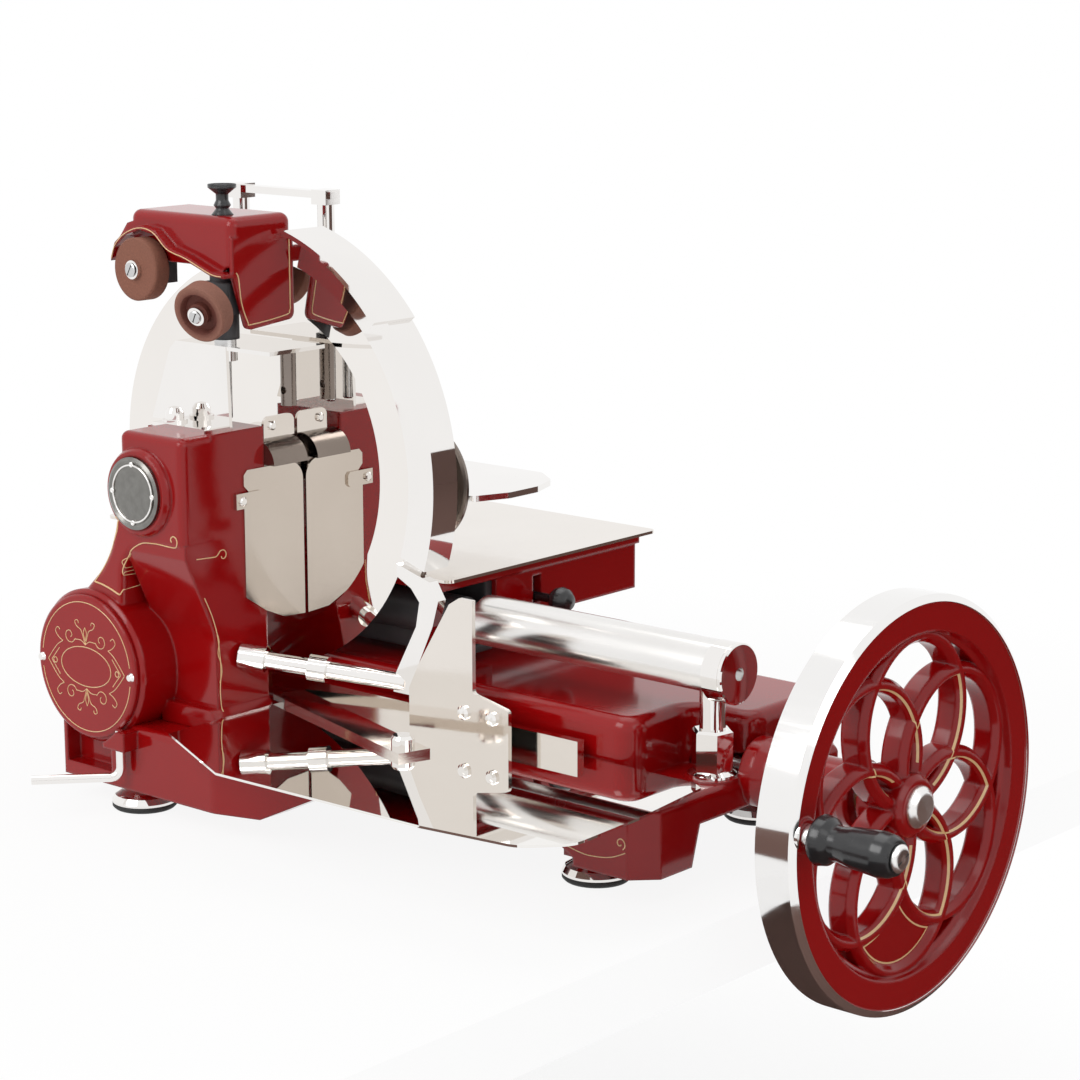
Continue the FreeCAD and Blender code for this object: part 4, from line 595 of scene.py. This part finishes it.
def drum_ornament():
    """Ring broken at the screws, an empty oval and scrolls mirrored over both axes."""
    x0, z0 = DRUM.x / MM, DRUM.z / MM
    for i, start in enumerate((8, 188)):
        stroke("drum_ring_%d" % i, arc((x0, z0), 42.5, start, start + 164, 24), front_at, "drum_cover")
    stroke("drum_oval", arc((x0, z0), 24, 0, 345, 24, 0.54), front_at, "drum_cover", closed=True)
    scrolls = {
        "tip": [(37, 0), (32, 6), (27, 11), (22, 14)],
        "inner": [(33.5, 0), (29, 5), (25.5, 9)],
        "big": [(0, 14.5), (4, 17), (9, 17)] + curl((15, 19), 5.5, 200, 400),
        "wing": [(22, 14), (26, 16), (29, 19.5), (27, 22.5), (24.5, 21)],
        "sprig": [(0, 14.5), (2, 20), (4, 24), (8, 26), (9.5, 29), (7, 30), (6, 28)],
        "leaf": [(0, 17), (1.5, 22), (0, 26)],
    }
    for label, spots in scrolls.items():
        for i, (sx, sz) in enumerate(((1, 1), (-1, 1), (-1, -1), (1, -1))):
            stroke("drum_%s_%d" % (label, i), [(x0 + sx * u, z0 + sz * v) for u, v in spots], front_at,
                   "drum_cover", thick=0.28)
    for i, u in enumerate((-30, 30)):
        stroke("drum_flower_%d" % i, arc((x0 + u, z0), 1.8, 0, 300, 6), front_at, "drum_cover", closed=True)


def twist(spots, reach, beats):
    """A second strand that weaves over a stroke's middle part."""
    path = smooth(spots, steps=8)
    low, high = int(len(path) * 0.35), int(len(path) * 0.8)
    part = path[low:high]
    woven = []
    for i, (u, v) in enumerate(part):
        share = i / (len(part) - 1)
        woven.append((u + reach * math.sin(2 * math.pi * beats * share) * math.sin(math.pi * share), v))
    return woven[::3]


def column_ornament():
    """Two lines that swing up the neck with a strand woven round each, and a scroll on the right wall."""
    left = curl((-313.6, 191.6), 3.0, 250, -330, 9)[::-1] + [
        (-319.5, 192), (-320.5, 184), (-324.5, 174.5), (-330, 164.5), (-335.5, 156), (-343, 147)]
    right = [(-319.6, 141.5), (-316.8, 149), (-317.6, 157), (-314, 165), (-307.5, 172.5), (-297.3, 178),
             (-284.5, 179.4), (-272, 179)] + curl((-267.5, 183.6), 4.4, 285, 300, 10, 0.35)
    stroke("neck_left", left, front_at, "column_housing", thick=0.42)
    stroke("neck_right", right, front_at, "column_housing", thick=0.42)
    foot = [(-343, 147), (-335, 146), (-326, 143.8), (-319.6, 141.5)]
    stroke("neck_foot", foot, front_at, "column_housing", thick=0.6)
    stroke("neck_left_twist", twist(left, 1.8, 1.5), front_at, "column_housing", thick=0.3)
    stroke("neck_right_twist", twist(right[:6], 1.8, 1.5), front_at, "column_housing", thick=0.3)
    edge = [(-74, 146), (-67.5, 132), (-63.5, 118), (-61.5, 98), (-62.5, 84), (-61.5, 70)]
    stroke("wall_line", edge, right_at, "column_housing", thick=0.35)
    stroke("wall_line_twist", twist(edge, 1.6, 2), right_at, "column_housing", thick=0.28)
    top = [(-80, 171.5), (-72, 171), (-64, 170.6)] + curl((-57.5, 170.5), 4.2, 160, -330, 10, 0.3)
    stroke("wall_scroll", top, right_at, "column_housing", thick=0.35)


def hood_ornament():
    """Line round the hood's side panel; the panel itself stays bare."""
    frame_line = [(-41.5, 347), (-39.5, 343), (-37.5, 328), (-32.5, 315.5), (-29, 313.6), (0, 316.6),
                  (4.2, 319.5), (4.6, 326), (4.6, 362), (4.2, 366)]
    stroke("hood_line", frame_line, right_at, "sharpener_hood", "sharpener", thick=0.42, steps=5)
    lip = [(-361, 349.5), (-357, 358.5), (-347.5, 366.2), (-334, 370.6), (-321, 368.6), (-308, 358.8),
           (-291, 354.2), (-269, 346.3), (-259, 345.2)]
    stroke("hood_lip_line", lip, front_at, "sharpener_hood", "sharpener", thick=0.36)


def base_ornament():
    line_spots = [(-2, 27), (12, 24.5), (24, 25), (34, 27), (44, 31.5)]
    stroke("base_line", line_spots, front_at, "base_casting", thick=0.35)
    stroke("base_curl", curl((40, 36.5), 4.0, 300, 400, 12, 0.2), front_at, "base_casting", thick=0.35)


def screw_slot(name, centre, axis, radius, turn, body, rise=0.0009):
    """Domed screw head with a near-black bar across it, painted shade in place of a sunk slot."""
    axis = Vector(axis).normalized()
    mesh = bpy.data.meshes.new(name)
    bm = bmesh.new()
    rings = [(1.0, 0.0), (1.0, 0.35), (0.86, 0.8), (0.55, 1.0), (0.0, 1.0)]
    seats = []
    for share, height in rings:
        seats.append([bm.verts.new((share * radius * math.cos(2 * math.pi * k / 32),
                                    share * radius * math.sin(2 * math.pi * k / 32), height * rise))
                      for k in range(32)] if share else [bm.verts.new((0, 0, rise))])
    for low, high in zip(seats, seats[1:]):
        for k in range(32):
            if len(high) == 1:
                bm.faces.new((low[k], low[(k + 1) % 32], high[0]))
            else:
                bm.faces.new((low[k], low[(k + 1) % 32], high[(k + 1) % 32], high[k]))
    bm.to_mesh(mesh)
    bm.free()
    mesh.materials.append(MATERIALS["steel_bright"])
    place_piece(name, mesh, centre, axis, turn, body)
    # Painted shade: a thin near-black bar laid into the dome stands for the shaded slot.
    shade_bar = bpy.data.meshes.new(name + "_slot")
    bm = bmesh.new()
    bmesh.ops.create_cube(bm, size=1)
    bmesh.ops.scale(bm, verts=bm.verts, vec=(radius * 1.7, radius * 0.2, rise * 0.3))
    bmesh.ops.translate(bm, verts=bm.verts, vec=(0, 0, rise * 0.9))
    bmesh.ops.bevel(bm, geom=bm.edges[:], offset=rise * 0.1, segments=1, affect="EDGES")
    bm.to_mesh(shade_bar)
    bm.free()
    shade_bar.materials.append(MATERIALS["slot_shade"])
    place_piece(name + "_slot", shade_bar, centre, axis, turn, body)


def place_piece(name, mesh, centre, axis, turn, body):
    piece = bpy.data.objects.new(name, mesh)
    bpy.context.scene.collection.objects.link(piece)
    facing = Vector(axis).to_track_quat("Z", "Y").to_matrix().to_4x4()
    piece.matrix_world = Matrix.Translation(centre) @ facing @ Matrix.Rotation(math.radians(turn), 4, "Z")
    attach(piece, body)
    return piece


def middle(node):
    """Middle, low corner and high corner of a CAD piece's box."""
    low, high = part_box(node)
    return (Vector(low) + Vector(high)) / 2, Vector(low), Vector(high)


def screws():
    screw_slot("stone_screw", STONE + Vector((0, -0.016, 0)), (0, -1, 0), 0.0046, 60, "sharpener")
    screw_slot("cup_screw", CUP + CUP_AXIS * 0.0098, CUP_AXIS, 0.0042, 60, "sharpener")
    grip_end, _, high = middle("handle_pin")
    seat = Vector((high.x - GRIP_SCREW_SINK, grip_end.y, grip_end.z))
    screw_slot("grip_screw", seat, (1, 0, 0), 0.0062, 25, "wheel", 0.001)


def ring(name, centre, radius, thick, body, slot_name):
    """Round wire ring facing the front."""
    data = bpy.data.curves.new(name, "CURVE")
    data.dimensions = "3D"
    data.bevel_depth = thick
    data.bevel_resolution = 2
    spline = data.splines.new("NURBS")
    count = 16
    spline.points.add(count - 1)
    for k, point in enumerate(spline.points):
        a = 2 * math.pi * k / count
        point.co = (centre.x + radius * math.cos(a), centre.y, centre.z + radius * math.sin(a), 1)
    spline.use_cyclic_u = True
    spline.order_u = 4
    data.materials.append(MATERIALS[slot_name])
    piece = bpy.data.objects.new(name, data)
    bpy.context.scene.collection.objects.link(piece)
    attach(piece, body)


def badge_face():
    """Plain round badge: a raised ring and four small pips on the spun disc, with no name on it."""
    centre, low, _ = middle("arbor_cap")
    face = Vector((centre.x, low.y, centre.z))
    ring("badge_ring", face + Vector((0, 0.0006, 0)), BADGE_RING_RADIUS, 0.0007, "frame", "chrome")
    for i in range(4):
        turn = math.radians(90 * i)
        pip = face + Vector((BADGE_RING_RADIUS * math.cos(turn), 0.0004, BADGE_RING_RADIUS * math.sin(turn)))
        ring("badge_pip_%d" % i, pip, 0.0011, 0.0008, "frame", "chrome")


make_camera()
make_stage()
dress_nodes()
drum_ornament()
column_ornament()
hood_ornament()
base_ornament()
screws()
badge_face()
